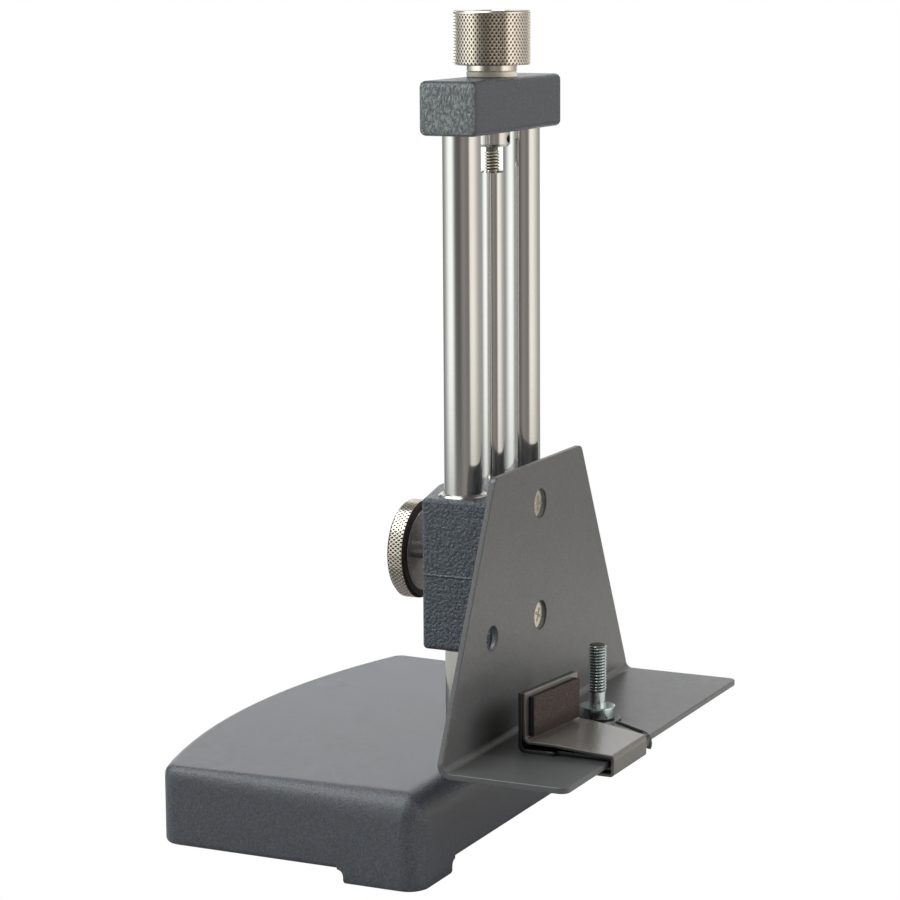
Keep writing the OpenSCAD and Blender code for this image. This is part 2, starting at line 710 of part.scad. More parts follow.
module clip_leaf() {
    bend_z = leaf_top + leaf_bend_r;
    shift = (leaf_t + leaf_bend_r) / cos(tab_turn);
    plan = [leaf_start - [0, shift], leaf_end - [0, shift], [front_right_x, leaf_face - cut],
        [-clip_left, leaf_face - cut]];
    color(leaf_paint) from_columns() union() {
        intersection() {
            rotate([90, 0, 90]) translate([0, 0, -clip_left]) linear_extrude(tab_w) leaf_section();
            linear_extrude(plate_top) polygon(plan);
        }
        along_tab(leaf_start) {
            translate([0, -leaf_t, bend_z - slice])
                cube([tab_w, leaf_t, shelf_top + tab_h - bend_z + slice]);
            translate([0, -leaf_t - leaf_bend_r, bend_z]) rotate([90, 0, 90]) linear_extrude(tab_w)
                intersection() {
                    difference() {
                        circle(leaf_bend_r + leaf_t);
                        circle(leaf_bend_r);
                    }
                    translate([-slice, -leaf_bend_r - leaf_t])
                        square(leaf_bend_r + leaf_t + slice);
                }
        }
    }
}

module clip_pad() {
    pad_z = leaf_top + leaf_bend_r;
    pad_top = shelf_top + tab_h - pad_margin;
    inset = (tab_w - pad_w) / 2;
    color(pad_brown) from_columns() along_tab(leaf_start)
        translate([inset, -leaf_t - seat_gap - pad_t, pad_z])
            cube([pad_w, pad_t, pad_top - pad_z]);
}

module clip_stud() {
    foot_z = shelf_top + running_gap;
    collar_low = shelf_top + carrier_t + seat_gap;
    shank_z = collar_low + stud_collar_h;
    thread_z = shank_z + stud_shank_l;
    top = thread_z + stud_thread_l;
    edge = 0.5;
    tip = 0.8;
    relief = 0.2;
    color(zinc) from_columns() translate([stud_x, stud_axis_y, 0]) rotate_extrude() polygon([
        [0, foot_z], [stud_d / 2, foot_z], [stud_d / 2, collar_low],
        [stud_collar_d / 2 - edge, collar_low], [stud_collar_d / 2, collar_low + edge],
        [stud_collar_d / 2, shank_z - edge], [stud_collar_d / 2 - edge, shank_z],
        [stud_d / 2 - relief, shank_z], [stud_d / 2 - relief, thread_z], [stud_d / 2, thread_z],
        [stud_d / 2, top - tip], [stud_d / 2 - tip, top], [0, top]]);
}

base_casting();
column(-1);  // column_left
column(1);  // column_right
column_screws();
top_bar();
bar_grub_screws();
bar_bush();
thrust_washer();
adjusting_knob();
spindle();
set_collar();
collar_grub_screw();
centre_rod();
carriage_block();
column_bush(-1, block_top + bush_proud - column_bush_l);  // bush_upper_left
column_bush(1, block_top + bush_proud - column_bush_l);  // bush_upper_right
column_bush(-1, block_z - bush_proud);  // bush_lower_left
column_bush(1, block_z - bush_proud);  // bush_lower_right
face_plate();
plate_screws();
pressure_pad();
clamp_screw();
clamp_knob();
clip_carrier();
clip_leaf();
clip_pad();
clip_stud();
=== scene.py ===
# Surface gauge: a painted casting with two ground columns and a bar, a carriage with a bent face
# plate on it, and a knurled knob that feeds it. Sizes are millimetres. Places along Y are measured
# from the columns' plane, and each mesh is moved to the CAD model's frame when it is made.
from math import atan2, cos, degrees, pi, radians, sin, sqrt, tan, tau

import bmesh
import bpy
from mathutils import Euler, Matrix, Vector
from mathutils.geometry import delaunay_2d_cdt


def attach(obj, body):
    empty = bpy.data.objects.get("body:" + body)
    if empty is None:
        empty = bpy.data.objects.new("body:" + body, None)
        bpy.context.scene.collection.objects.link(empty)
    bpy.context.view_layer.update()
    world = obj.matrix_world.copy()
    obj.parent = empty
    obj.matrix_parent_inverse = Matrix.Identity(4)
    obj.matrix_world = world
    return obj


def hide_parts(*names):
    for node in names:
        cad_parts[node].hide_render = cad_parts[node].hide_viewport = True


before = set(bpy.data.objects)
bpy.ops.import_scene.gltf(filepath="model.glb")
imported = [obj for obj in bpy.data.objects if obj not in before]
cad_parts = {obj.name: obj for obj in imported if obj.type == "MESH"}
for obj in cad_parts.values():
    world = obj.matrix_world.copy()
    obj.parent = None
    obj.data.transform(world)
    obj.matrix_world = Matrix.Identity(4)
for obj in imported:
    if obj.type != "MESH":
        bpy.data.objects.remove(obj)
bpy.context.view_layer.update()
scene = bpy.context.scene
# Where the columns' plane stands along Y in the CAD model's frame
column_y = -15.97


def metres(point):
    """A point measured in millimetres from the columns' plane, in the CAD model's metres."""
    return point[0] / 1000, (point[1] + column_y) / 1000, point[2] / 1000


# Camera: stands 26 degrees round from the gauge's left end and looks 10 degrees down through a
# long lens, as the straight edges of the base, bar and plate in the photograph ask for.
camera_bearing = 25.663
camera_dip = 9.668
camera_roll = -0.364
camera_place = (-873.113, -403.503, 291.228)
camera_data = bpy.data.cameras.new("camera")
camera_data.lens = 116.86
camera_data.sensor_width = 36
camera_data.clip_start = 0.05
camera = bpy.data.objects.new("camera", camera_data)
camera_turn = Euler((pi / 2 - radians(camera_dip), 0,
                     radians(camera_bearing) - pi / 2)).to_matrix()
camera_turn = camera_turn @ Matrix.Rotation(radians(camera_roll), 3, "Z")
camera.matrix_world = Matrix.LocRotScale(
    Vector(metres(camera_place)), camera_turn.to_quaternion(), None)
scene.collection.objects.link(camera)
scene.camera = camera
scene.view_settings.view_transform = "Standard"


# Room: a white sweep behind the gauge, tall soft boxes to its left and right, one overhead, and
# the dark room behind the camera, which polished steel shows as its dark middle.
class Wire:
    """A socket of a node tree, with the sums that the node trees below use."""

    def __init__(self, graph, socket):
        self.graph = graph
        self.socket = socket

    def math(self, operation, *others):
        return self.graph.math(operation, self, *others)

    def __add__(self, other):
        return self.math("ADD", other)

    def __sub__(self, other):
        return self.math("SUBTRACT", other)

    def __rsub__(self, other):
        return self.graph.math("SUBTRACT", other, self)

    def __mul__(self, other):
        return self.math("MULTIPLY", other)

    def __truediv__(self, other):
        return self.math("DIVIDE", other)

    def least(self, other):
        return self.math("MINIMUM", other)

    def most(self, other):
        return self.math("MAXIMUM", other)

    __radd__ = __add__
    __rmul__ = __mul__


class Graph:
    """A node tree that is filled one node at a time."""

    def __init__(self, tree):
        self.tree = tree

    def add(self, kind, values=None, settings=None, outlet=0):
        """A new node with its settings and inputs, as the socket that it gives."""
        node = self.tree.nodes.new(kind)
        for name, value in (settings or {}).items():
            if name == "stops":
                stops = node.color_ramp.elements
                while len(stops) < len(value):
                    stops.new(1)
                for stop, (place, tone) in zip(stops, value):
                    stop.position = place
                    stop.color = (*tone, 1)
            else:
                setattr(node, name, value)
        for name, value in (values or {}).items():
            self.feed(node.inputs[name], value)
        return Wire(self, node.outputs[outlet]) if node.outputs else node

    def feed(self, inlet, value):
        if isinstance(value, Wire):
            self.tree.links.new(value.socket, inlet)
        elif inlet.type == "RGBA":
            inlet.default_value = (*value, 1)
        else:
            inlet.default_value = value

    def math(self, operation, *values):
        return self.add("ShaderNodeMath", dict(enumerate(values)), {"operation": operation})

    def mix(self, share, first, second):
        return self.add("ShaderNodeMix", {0: share, 6: first, 7: second},
                        {"data_type": "RGBA"}, outlet=2)

    def ramp(self, share, stops):
        return self.add("ShaderNodeValToRGB", {"Fac": share}, {"stops": stops})

    def step(self, value, low, high):
        """0 up to low, 1 from high, and a soft step between them."""
        return self.add("ShaderNodeMapRange",
                        {"Value": value, "From Min": low, "From Max": high},
                        {"interpolation_type": "SMOOTHSTEP"})

    def part(self, vector, letter):
        return self.add("ShaderNodeSeparateXYZ", {0: vector}, outlet=letter)


world = bpy.data.worlds.new("room")
world.use_nodes = True
world.node_tree.nodes.clear()
scene.world = world
room = Graph(world.node_tree)
ray = room.add("ShaderNodeTexCoord", outlet="Generated")
ray_x = room.part(ray, "X")
ray_y = room.part(ray, "Y")
ray_z = room.part(ray, "Z")
# Degrees round from the camera's side of the room: to the photograph's left is negative
camera_side = radians(camera_bearing + 180)
ahead = ray_x * cos(camera_side) + ray_y * sin(camera_side)
aside = ray_y * cos(camera_side) - ray_x * sin(camera_side)
bearing = aside.math("ARCTAN2", ahead) * (360 / tau)


def between(start, end, soft=4):
    """1 for rays whose bearing is between two angles, with a soft edge."""
    return room.step(bearing, start - soft, start + soft) * (
        1 - room.step(bearing, end - soft, end + soft))


# What the walls give off at each bearing: a tall box to the left, dark behind the camera, a warmer
# box to the right and a grey wall beyond it
brightest = 1.4
wall_levels = [(-158, 0.05), (-148, 0.10), (-117, 0.42), (-97, 0.90), (-85, 1.25), (-62, 1.28),
               (-52, 0.72), (-44, 0.26), (-36, 0.07), (-20, 0.02), (-10, 0.06), (4, 0.20),
               (14, 0.20), (28, 0.14), (38, 0.13), (44, 0.35), (50, 1.0), (64, 1.12), (80, 0.98),
               (97, 0.65), (117, 0.40), (148, 0.28), (158, 0.3)]
around = bearing * (1 / 360) + 0.5
walls = room.ramp(around, [(turn / 360 + 0.5, (level / brightest,) * 3)
                           for turn, level in wall_levels])
tint = room.ramp(around, [(0.0, (0.95, 0.99, 1.0)), (0.4, (0.97, 0.995, 0.98)),
                          (0.5, (1.0, 0.93, 0.88)), (0.64, (1.0, 0.955, 0.9)),
                          (1.0, (1.0, 0.975, 0.95))])
# The walls end above at the dark ceiling and below at the table
below_top = 1 - room.step(ray_z, 0.72, 0.9)
above_table = room.step(ray_z, -0.21, -0.15)
# The white sweep stands behind the gauge, up to a little over the horizon
sweep = (1 - between(-158, 160, 6)) * (1 - room.step(ray_z, 0.42, 0.62))
# The overhead box hangs a little to the left and behind
top_way = (-0.168, 0.427, 0.888)
towards_top = ray_x * top_way[0] + ray_y * top_way[1] + ray_z * top_way[2]
top_box = room.step(towards_top, 0.88, 0.94)
table_glow = 0.28
top_glow = 3.2
dim_glow = 0.1
sweep_glow = 0.88
room_light = (table_glow * (1 - above_table) + top_glow * top_box
              + above_table * (dim_glow + brightest * walls * below_top + sweep_glow * sweep))
camera_ray = room.add("ShaderNodeLightPath", outlet="Is Camera Ray")
glossy_ray = room.add("ShaderNodeLightPath", outlet="Is Glossy Ray")
clear_ray = room.add("ShaderNodeLightPath", outlet="Is Transmission Ray")
backdrop = camera_ray.most(glossy_ray.most(clear_ray) * sweep)
lit = room.add("ShaderNodeBackground", {"Color": tint, "Strength": room_light})
white = room.add("ShaderNodeBackground", {"Color": (1, 1, 1), "Strength": 1.0})
room.add("ShaderNodeOutputWorld",
         {"Surface": room.add("ShaderNodeMixShader", {0: backdrop, 1: lit, 2: white})})


# A soft warm lamp to the front and right, its sizes in metres. The clip's tab keeps it off the
# shelf's left end.
lamp_bearing = 102
lamp_distance = 0.8
lamp_height = 0.36
lamp_target = Vector((0, 0, 0.08))
lamp_data = bpy.data.lights.new("warm_lamp", "AREA")
lamp_data.shape = "RECTANGLE"
lamp_data.size = 0.34
lamp_data.size_y = 0.30
lamp_data.energy = 4.6
lamp_data.color = (1.0, 0.955, 0.90)
lamp = bpy.data.objects.new("warm_lamp", lamp_data)
lamp_side = camera_side + radians(lamp_bearing)
lamp_place = Vector((lamp_distance * cos(lamp_side), lamp_distance * sin(lamp_side), lamp_height))
lamp_turn = (lamp_place - lamp_target).to_track_quat("Z", "Y")
lamp.matrix_world = Matrix.LocRotScale(lamp_place, lamp_turn, None)
lamp.visible_camera = False
lamp.visible_glossy = False
scene.collection.objects.link(lamp)


class Finish(Graph):
    """A material on object coordinates, with the sizes of its patterns in millimetres."""

    def __init__(self, name):
        self.material = bpy.data.materials.new(name)
        self.material.use_nodes = True
        super().__init__(self.material.node_tree)
        self.shader = self.tree.nodes["Principled BSDF"]
        self.place = self.add("ShaderNodeTexCoord", outlet="Object")

    def set(self, values):
        for name, value in values.items():
            self.feed(self.shader.inputs[name], value)

    def noise(self, size, detail=2, rough=0.5, stretch=(1, 1, 1)):
        place = self.place
        if stretch != (1, 1, 1):
            place = self.add("ShaderNodeVectorMath",
                             {0: place, 1: tuple(1 / s for s in stretch)},
                             {"operation": "MULTIPLY"})
        return self.add("ShaderNodeTexNoise",
                        {"Vector": place, "Scale": 1000 / size, "Detail": detail,
                         "Roughness": rough})

    def rings(self, size=0.5, axis="Z"):
        """The fine rings round an axis that turning and grinding leave."""
        return self.noise(size, 2, 0.6, {"Y": (60, 1, 60), "Z": (60, 60, 1)}[axis])

    def along(self, letter):
        """A point's place along X or Z, or along Y from the columns' plane, in millimetres."""
        place = self.part(self.place, letter) * 1000
        return place - column_y if letter == "Y" else place

    def out(self, first, second):
        """How far a point lies from an axis, from its two distances across it."""
        return (first * first + second * second).math("SQRT")

    def bump(self, height, depth):
        return self.add("ShaderNodeBump", {"Height": height, "Distance": depth / 1000})


# The floor is a paper disc, its sizes in metres. It is white in the picture, and grey in what
# the gauge reflects of it.
floor_radius = 0.42
floor_middle_y = 0.02
floor_drop = 0.0001
floor_sides = 96
floor_turns = [tau * i / floor_sides for i in range(floor_sides)]
floor_mesh = bpy.data.meshes.new("floor")
floor_mesh.from_pydata(
    [(floor_radius * cos(turn), floor_middle_y + floor_radius * sin(turn), -floor_drop)
     for turn in floor_turns], [], [tuple(range(floor_sides))])
floor = bpy.data.objects.new("floor", floor_mesh)
scene.collection.objects.link(floor)
floor_paint = Finish("floor_white")
floor_paint.set({"Base Color": (0.5, 0.5, 0.49), "Roughness": 0.9})
seen = floor_paint.add("ShaderNodeLightPath", outlet="Is Camera Ray")
floor_white = floor_paint.add("ShaderNodeEmission", {"Color": (1, 1, 1), "Strength": 1.0})
floor_shader = Wire(floor_paint, floor_paint.shader.outputs[0])
floor_mix = floor_paint.add("ShaderNodeMixShader", {0: seen, 1: floor_shader, 2: floor_white})
# Seen from below it is clear, so that the gauge's underside shows
below = floor_paint.add("ShaderNodeNewGeometry", outlet="Backfacing")
clear = floor_paint.add("ShaderNodeBsdfTransparent")
floor_mix = floor_paint.add("ShaderNodeMixShader", {0: below * seen, 1: floor_mix, 2: clear})
floor_paint.feed(floor_paint.tree.nodes["Material Output"].inputs["Surface"], floor_mix)
floor_mesh.materials.append(floor_paint.material)


# Base casting: an iron casting with a straight front, a bowed back and three feet, sprayed with
# a fine-grained grey-blue enamel. The columns stand in bores and are screwed from below.
column_x = 23.5
column_radius = 6.25
column_foot = 17
base_side = 85.5
base_front = -13.5
base_shoulder = 79.5
base_back = 94
base_top = 31
base_under = 4.6
front_corner = 7
back_corner = 6
foot_inner_x = 61.6
foot_back_y = 13.5


def rounded(corners, steps=6):
    """A closed outline through corners (x, y, radius), each rounded with its radius."""
    outline = []
    for last, (x, y, radius), after in zip(corners[-1:] + corners[:-1], corners,
                                           corners[1:] + corners[:1]):
        corner = Vector((x, y))
        if radius == 0:
            outline.append(corner)
            continue
        one_way = (Vector(last[:2]) - corner).normalized()
        other_way = (Vector(after[:2]) - corner).normalized()
        half = one_way.angle(other_way) / 2
        centre = corner + (one_way + other_way).normalized() * radius / sin(half)
        start = corner + one_way * radius / tan(half) - centre
        end = corner + other_way * radius / tan(half) - centre
        turn = atan2(start.x * end.y - start.y * end.x, start.dot(end))
        for i in range(steps + 1):
            outline.append(centre + Matrix.Rotation(turn * i / steps, 2) @ start)
    return [tuple(point) for point in outline]


def inset(outline, depth):
    """A closed outline moved inwards by one depth, or by a list with a depth for each side."""
    depths = depth if isinstance(depth, list) else [depth] * len(outline)
    moved = []
    for i, point in enumerate(outline):
        to_here = Vector(point) - Vector(outline[i - 1])
        onwards = Vector(outline[(i + 1) % len(outline)]) - Vector(point)
        first = Vector((-to_here.y, to_here.x)).normalized()
        second = Vector((-onwards.y, onwards.x)).normalized()
        near, far = depths[i - 1], depths[i]
        cross = first.x * second.y - first.y * second.x
        if abs(cross) < 0.01:
            shift = (first * near + second * far) / 2
        else:
            shift = Vector((near * second.y - far * first.y, far * first.x - near * second.x))
            shift /= cross
        moved.append(tuple(Vector(point) + shift))
    return moved


def loft(rings):
    """A closed shape through rings of points, with the first and the last ring filled in."""
    count = len(rings[0])
    points = [point for ring in rings for point in ring]
    faces = [tuple(reversed(range(count))), tuple(range(len(points) - count, len(points)))]
    for row in range(len(rings) - 1):
        for i in range(count):
            here = row * count + i
            beside = row * count + (i + 1) % count
            faces.append((here, beside, beside + count, here + count))
    return points, faces


def slab(outline, bottom, top, bottom_edge=0, top_edge=0, steps=5):
    """A flat body with rounded edges at its bottom and top."""
    levels = [(bottom, 0)]
    if bottom_edge:
        levels = [(bottom + bottom_edge * (1 - cos(pi / 2 * i / steps)),
                   bottom_edge * (1 - sin(pi / 2 * i / steps))) for i in range(steps + 1)]
    if top_edge:
        levels += [(top - top_edge * (1 - sin(pi / 2 * i / steps)),
                    top_edge * (1 - cos(pi / 2 * i / steps))) for i in range(steps + 1)]
    else:
        levels.append((top, 0))
    return loft([[(x, y, z) for x, y in inset(outline, depth)] for z, depth in levels])


def lathe(profile, steps=96, closed=False):
    """A turned shape from (radius, height) points. A closed profile makes a ring or a tube."""
    points = []
    rows = []
    for radius, z in profile:
        if radius == 0:
            rows.append([len(points)] * steps)
            points.append((0, 0, z))
        else:
            rows.append(list(range(len(points), len(points) + steps)))
            points += [(radius * cos(tau * i / steps), radius * sin(tau * i / steps), z)
                       for i in range(steps)]
    if closed:
        rows.append(rows[0])
    faces = []
    for low, high in zip(rows, rows[1:]):
        for i in range(steps):
            corners = (low[i], low[(i + 1) % steps], high[(i + 1) % steps], high[i])
            faces.append(tuple(dict.fromkeys(corners)))
    return points, [face for face in faces if len(face) > 2]


def bore(radius, low, high, steps=96):
    """A plain cylinder between two heights, to cut a hole with."""
    return lathe([(0, low), (radius, low), (radius, high), (0, high)], steps)


def put(shape, x=0, y=0, z=0, axis="Z"):
    """The shape moved, with its own Z turned to lie along the axis."""
    turned = {"X": lambda p: (p[2], p[1], -p[0]), "Y": lambda p: (p[0], p[2], -p[1]),
              "Z": lambda p: p}[axis]
    return [tuple(Vector(turned(p)) + Vector((x, y, z))) for p in shape[0]], shape[1]


def solid(name, shape):
    """A mesh object of the shape, in metres, with its faces pointing outwards."""
    mesh = bpy.data.meshes.new(name)
    mesh.from_pydata([metres(point) for point in shape[0]], [], shape[1])
    work = bmesh.new()
    work.from_mesh(mesh)
    bmesh.ops.remove_doubles(work, verts=work.verts, dist=1e-7)
    bmesh.ops.recalc_face_normals(work, faces=work.faces)
    work.to_mesh(mesh)
    work.free()
    piece = bpy.data.objects.new(name, mesh)
    scene.collection.objects.link(piece)
    return piece


def settle(piece):
    """Applies the piece's modifiers to its mesh."""
    bpy.context.view_layer.update()
    made = bpy.data.meshes.new_from_object(
        piece.evaluated_get(bpy.context.evaluated_depsgraph_get()))
    piece.modifiers.clear()
    piece.data = made
    made.name = piece.name


def carve(piece, shapes, operation="DIFFERENCE"):
    """Cuts the shapes out of the piece, or joins them to it."""
    tools = []
    for shape in shapes:
        tool = solid("tool", shape)
        change = piece.modifiers.new("carve", "BOOLEAN")
        change.solver = "EXACT"
        change.operation = operation
        change.object = tool
        tools.append(tool)
    settle(piece)
    for tool in tools:
        bpy.data.objects.remove(tool)


def dress(piece, material, body, slot, *nodes, sharp=32):
    """Shades the piece, gives it its finish and joins it to its body of the frame."""
    piece.data.polygons.foreach_set("use_smooth", [True] * len(piece.data.polygons))
    piece.data.set_sharp_from_angle(angle=radians(sharp))
    weigh = piece.modifiers.new("even_shading", "WEIGHTED_NORMAL")
    weigh.keep_sharp = True
    piece.data.materials.clear()
    piece.data.materials.append(material)
    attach(piece, body)
    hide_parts(*nodes)


# The bowed back is an arc through the two shoulders and the middle of the back edge
bow = base_back - base_shoulder
bow_radius = (base_side ** 2 + bow ** 2) / (2 * bow)
bow_steps = 16


def base_ring(z, depth, back_share=1.0):
    """The outline at one level, with its depth and drop eased off towards the back."""
    back_depth = depth * back_share
    back_x, front_x = base_side - back_depth, base_side - depth
    front_y = base_front + depth
    reach = bow_radius - back_depth
    centre_y = base_back - bow_radius
    least_corner = 0.4
    front_radius = max(least_corner, front_corner - depth)
    back_radius = max(least_corner, back_corner - back_depth)
    back_y = centre_y + sqrt(reach ** 2 - back_x ** 2)
    corners = [(-front_x, front_y, front_radius), (front_x, front_y, front_radius),
               (back_x, back_y, back_radius)]
    for i in range(1, bow_steps):
        x = back_x * (1 - 2 * i / bow_steps)
        corners.append((x, centre_y + sqrt(reach ** 2 - x ** 2), 0))
    corners.append((-back_x, back_y, back_radius))
    ring = []
    for x, y in rounded(corners, 8):
        to_back = min(1, max(0, (y - base_front) / (base_shoulder - base_front)))
        ring.append((x, y, base_top - (base_top - z) * (1 + (back_share - 1) * to_back)))
    return ring


# The walls stand upright at first, then lean in softly and turn over into the top. Both curves
# are larger at the front than at the back.
under_radius = 2
lean = radians(11)
lean_radius = 25
edge_radius = 7.8
edge_back_share = 0.4
lean_start = base_top - edge_radius * (1 - sin(lean)) - lean_radius * sin(lean)
rings = []
for i in range(7):
    turn = pi / 2 * i / 6
    rings.append(base_ring(base_under + under_radius * (1 - cos(turn)),
                           under_radius * (1 - sin(turn))))
for i in range(7):
    turn = lean * i / 6
    rings.append(base_ring(lean_start + lean_radius * sin(turn), lean_radius * (1 - cos(turn)),
                           edge_back_share))
for i in range(1, 9):
    turn = lean + (pi / 2 - lean) * i / 8
    rings.append(base_ring(
        base_top - edge_radius * (1 - sin(turn)),
        lean_radius * (1 - cos(lean)) + edge_radius * (cos(lean) - cos(turn)), edge_back_share))
base_casting = solid("base_casting_cast", loft(rings))


def foot(outline, flush):
    """A foot from its outline on the ground. It flares into the underside, but not on the sides
    that are flush with the base's wall."""
    flare = 2.2
    shrink = 0.05
    levels = [(0, 1.0), (0.3, 0.3), (1.0, 0.0), (base_under - flare, -shrink)]
    levels += [(base_under - flare * (1 - sin(pi / 2 * i / 5)),
                -shrink - flare * (1 - cos(pi / 2 * i / 5))) for i in range(1, 6)]
    levels.append((base_under + 2, -shrink - flare))
    rings = []
    for z, depth in levels:
        depths = [max(depth, 0) if side else depth for side in flush]
        rings.append([(x, y, z) for x, y in inset(outline, depths)])
    return loft(rings)


foot_corner = 3
front_foot = rounded([(-base_side, base_front, front_corner), (-foot_inner_x, base_front, 0),
                      (-foot_inner_x, foot_back_y, foot_corner), (-base_side, foot_back_y, 0)], 8)
# A front foot is flush with the base's front and side, and free at its inner side and its back
front_flush = []
for i, (x, y) in enumerate(front_foot):
    next_x, next_y = front_foot[(i + 1) % len(front_foot)]
    inner = min(x, next_x) > -foot_inner_x - foot_corner - 0.1 and next_y > base_front + 0.1
    behind = min(y, next_y) > foot_back_y - foot_corner - 0.1 and x > -base_side + 0.1
    front_flush.append(not (inner or behind))
left_foot = foot(front_foot, front_flush)
right_foot = ([(-x, y, z) for x, y, z in left_foot[0]], [face[::-1] for face in left_foot[1]])
back_foot_side = 13.8
back_foot_front = 66.5
back_foot_back = 89.5
back_foot_outline = rounded([(x, y, foot_corner) for x, y in (
    (-back_foot_side, back_foot_front), (back_foot_side, back_foot_front),
    (back_foot_side, back_foot_back), (-back_foot_side, back_foot_back))])
back_foot = foot(back_foot_outline, [False] * len(back_foot_outline))
carve(base_casting, [left_foot, right_foot, back_foot], "UNION")
# Room for the column, for its screw's shank and for the screw's head
bore_radius = column_radius + 0.01
shank_room = 3.01
head_room = 5.3
head_seat = 11
column_seat = lathe([(0, -1), (head_room, -1), (head_room, head_seat), (shank_room, head_seat),
                     (shank_room, column_foot), (bore_radius, column_foot), (bore_radius, 32),
                     (0, 32)])
carve(base_casting, [put(column_seat, side * column_x) for side in (-1, 1)])


def cast_paint(name, tone, grain, depth, roughness, grain_shade=0.2, gloss=0.9, coat=0.0,
               marks=None):
    """Enamel: its grain shows as small bumps, with painted shade in the hollows between them and a
    painted highlight on their crests. The marks function adds what one piece's enamel has of its
    own, and some painted light and shade, to the height, colour and roughness."""
    paint = Finish(name)
    fine = paint.noise(grain, 4, 0.62)
    broad = paint.noise(grain * 7, 2)
    cloud = paint.noise(35, 3)
    colour = paint.mix(paint.step(cloud, 0.3, 0.7), tuple(c * 0.93 for c in tone),
                       tuple(c * 1.07 for c in tone))
    # The grain's colour follows its bumps: darker in the hollows and paler on the crests, as
    # painted shade and painted highlight
    dark = tuple(c * (1 - grain_shade) for c in tone)
    pale = tuple(c * (1 + 1.6 * grain_shade) for c in tone)
    grain_light_and_shade = paint.mix(paint.step(fine, 0.38, 0.64), dark, pale)
    enamel = paint.mix(0.65, colour, grain_light_and_shade)
    height = fine * 0.8 + broad * 0.2
    dull = roughness - 0.05 + 0.1 * broad
    if marks:
        height, enamel, dull = marks(paint, height, enamel, dull)
    paint.set({"Base Color": enamel, "Roughness": dull, "Specular IOR Level": gloss,
               "Coat Weight": coat, "Coat Roughness": 0.25, "Normal": paint.bump(height, depth)})
    return paint


base_paint = cast_paint("base_enamel", (0.032, 0.039, 0.058), grain=0.6, depth=0.45,
                        roughness=0.24, grain_shade=0.6, gloss=1.0, coat=0.3)
dress(base_casting, base_paint.material, "stand", "cast_paint", "base_casting")


# Columns: two 12.5 mm steel bars, hardened and ground to a bright finish, with a chamfer at both
# ends. A cap screw from below holds each in its bore.
column_top = 244.5
column_chamfer = 0.8


def ground_steel(name, tone, roughness=0.12):
    """Steel ground to a bright finish: very fine rings round the bar and a few faint marks."""
    steel = Finish(name)
    rings = steel.rings()
    wear = steel.noise(9, 3, stretch=(1, 1, 3))
    steel.set({"Base Color": steel.mix(wear, tone, tuple(c * 0.92 for c in tone)),
               "Metallic": 1.0, "Roughness": roughness - 0.03 + 0.07 * rings,
               "Normal": steel.bump(rings, 0.002)})
    return steel


column_steel = ground_steel("ground_steel", (0.74, 0.73, 0.70))
end_radius = column_radius - column_chamfer
column_bar = lathe([(0, column_foot), (end_radius, column_foot),
                    (column_radius, column_foot + column_chamfer),
                    (column_radius, column_top - column_chamfer), (end_radius, column_top),
                    (0, column_top)], 128)
for side, x in (("left", -column_x), ("right", column_x)):
    column = solid(f"column_{side}_ground", put(column_bar, x))
    dress(column, column_steel.material, "stand", "ground_steel", f"column_{side}")


# Top bar: a small casting across the columns' tops, coarser than the base and sprayed with the
# same enamel, with two grub screws and the spindle's bush in it.
bar_bottom = 233.5
bar_top = 251
bar_half_x = 34.5
bar_half_y = 10.25
bar_corner = 2.3
bar_edge = 2
grub_level = 239
bar_outline = rounded([(x * bar_half_x, y * bar_half_y, bar_corner)
                       for x, y in ((-1, -1), (1, -1), (1, 1), (-1, 1))])
top_bar = solid("top_bar_cast", slab(bar_outline, bar_bottom, bar_top, bar_edge, bar_edge))
column_bore = bore(bore_radius, 230, column_top)
bush_bore = bore(5.06, 230, 255)
grub_bore = bore(2.51, 0, 15)
carve(top_bar, [put(column_bore, -column_x), put(column_bore, column_x), put(bush_bore),
                put(grub_bore, -column_x, 0, grub_level, "Y"),
                put(grub_bore, column_x, 0, grub_level, "Y")])


def coarse_ends(paint, height, enamel, dull):
    """The bar's ends are as they came from the sand, with upright streaks, and are painted much
    lighter, brightest on the streaks, as a painted highlight of the light that they catch.
    """
    at_end = paint.step(paint.along("X").math("ABSOLUTE"), bar_half_x - 1.0, bar_half_x - 0.3)
    streaks = paint.noise(0.6, 2, 0.5, stretch=(1, 1, 2.2))
    painted_sheen = paint.mix(paint.step(streaks, 0.38, 0.66), (0.18, 0.205, 0.215), (0.42, 0.47, 0.48))
    return (height * 0.35 + at_end * streaks * 1.9, paint.mix(at_end, enamel, painted_sheen),
            dull - 0.10 * at_end)


bar_paint = cast_paint("bar_enamel", (0.040, 0.049, 0.060), grain=0.9, depth=0.75,
                       roughness=0.28, marks=coarse_ends)
dress(top_bar, bar_paint.material, "stand", "cast_paint", "top_bar")


# Thrust washer: a turned ring of pale bronze that lies loose on the bar, with chamfered edges.
# The knob's neck runs on it.
washer = solid("washer_turned", lathe(
    [(3.05, 251.01), (8.0, 251.01), (8.3, 251.3), (8.3, 252.7), (8.0, 252.99), (3.05, 252.99)],
    closed=True))
bronze = Finish("bronze")
turned = bronze.rings(0.4)
bronze.set({"Base Color": bronze.mix(turned, (0.90, 0.88, 0.78), (0.78, 0.76, 0.66)),
            "Metallic": 0.25, "Roughness": 0.34 + 0.14 * turned})
dress(washer, bronze.material, "stand", "bronze", "thrust_washer")


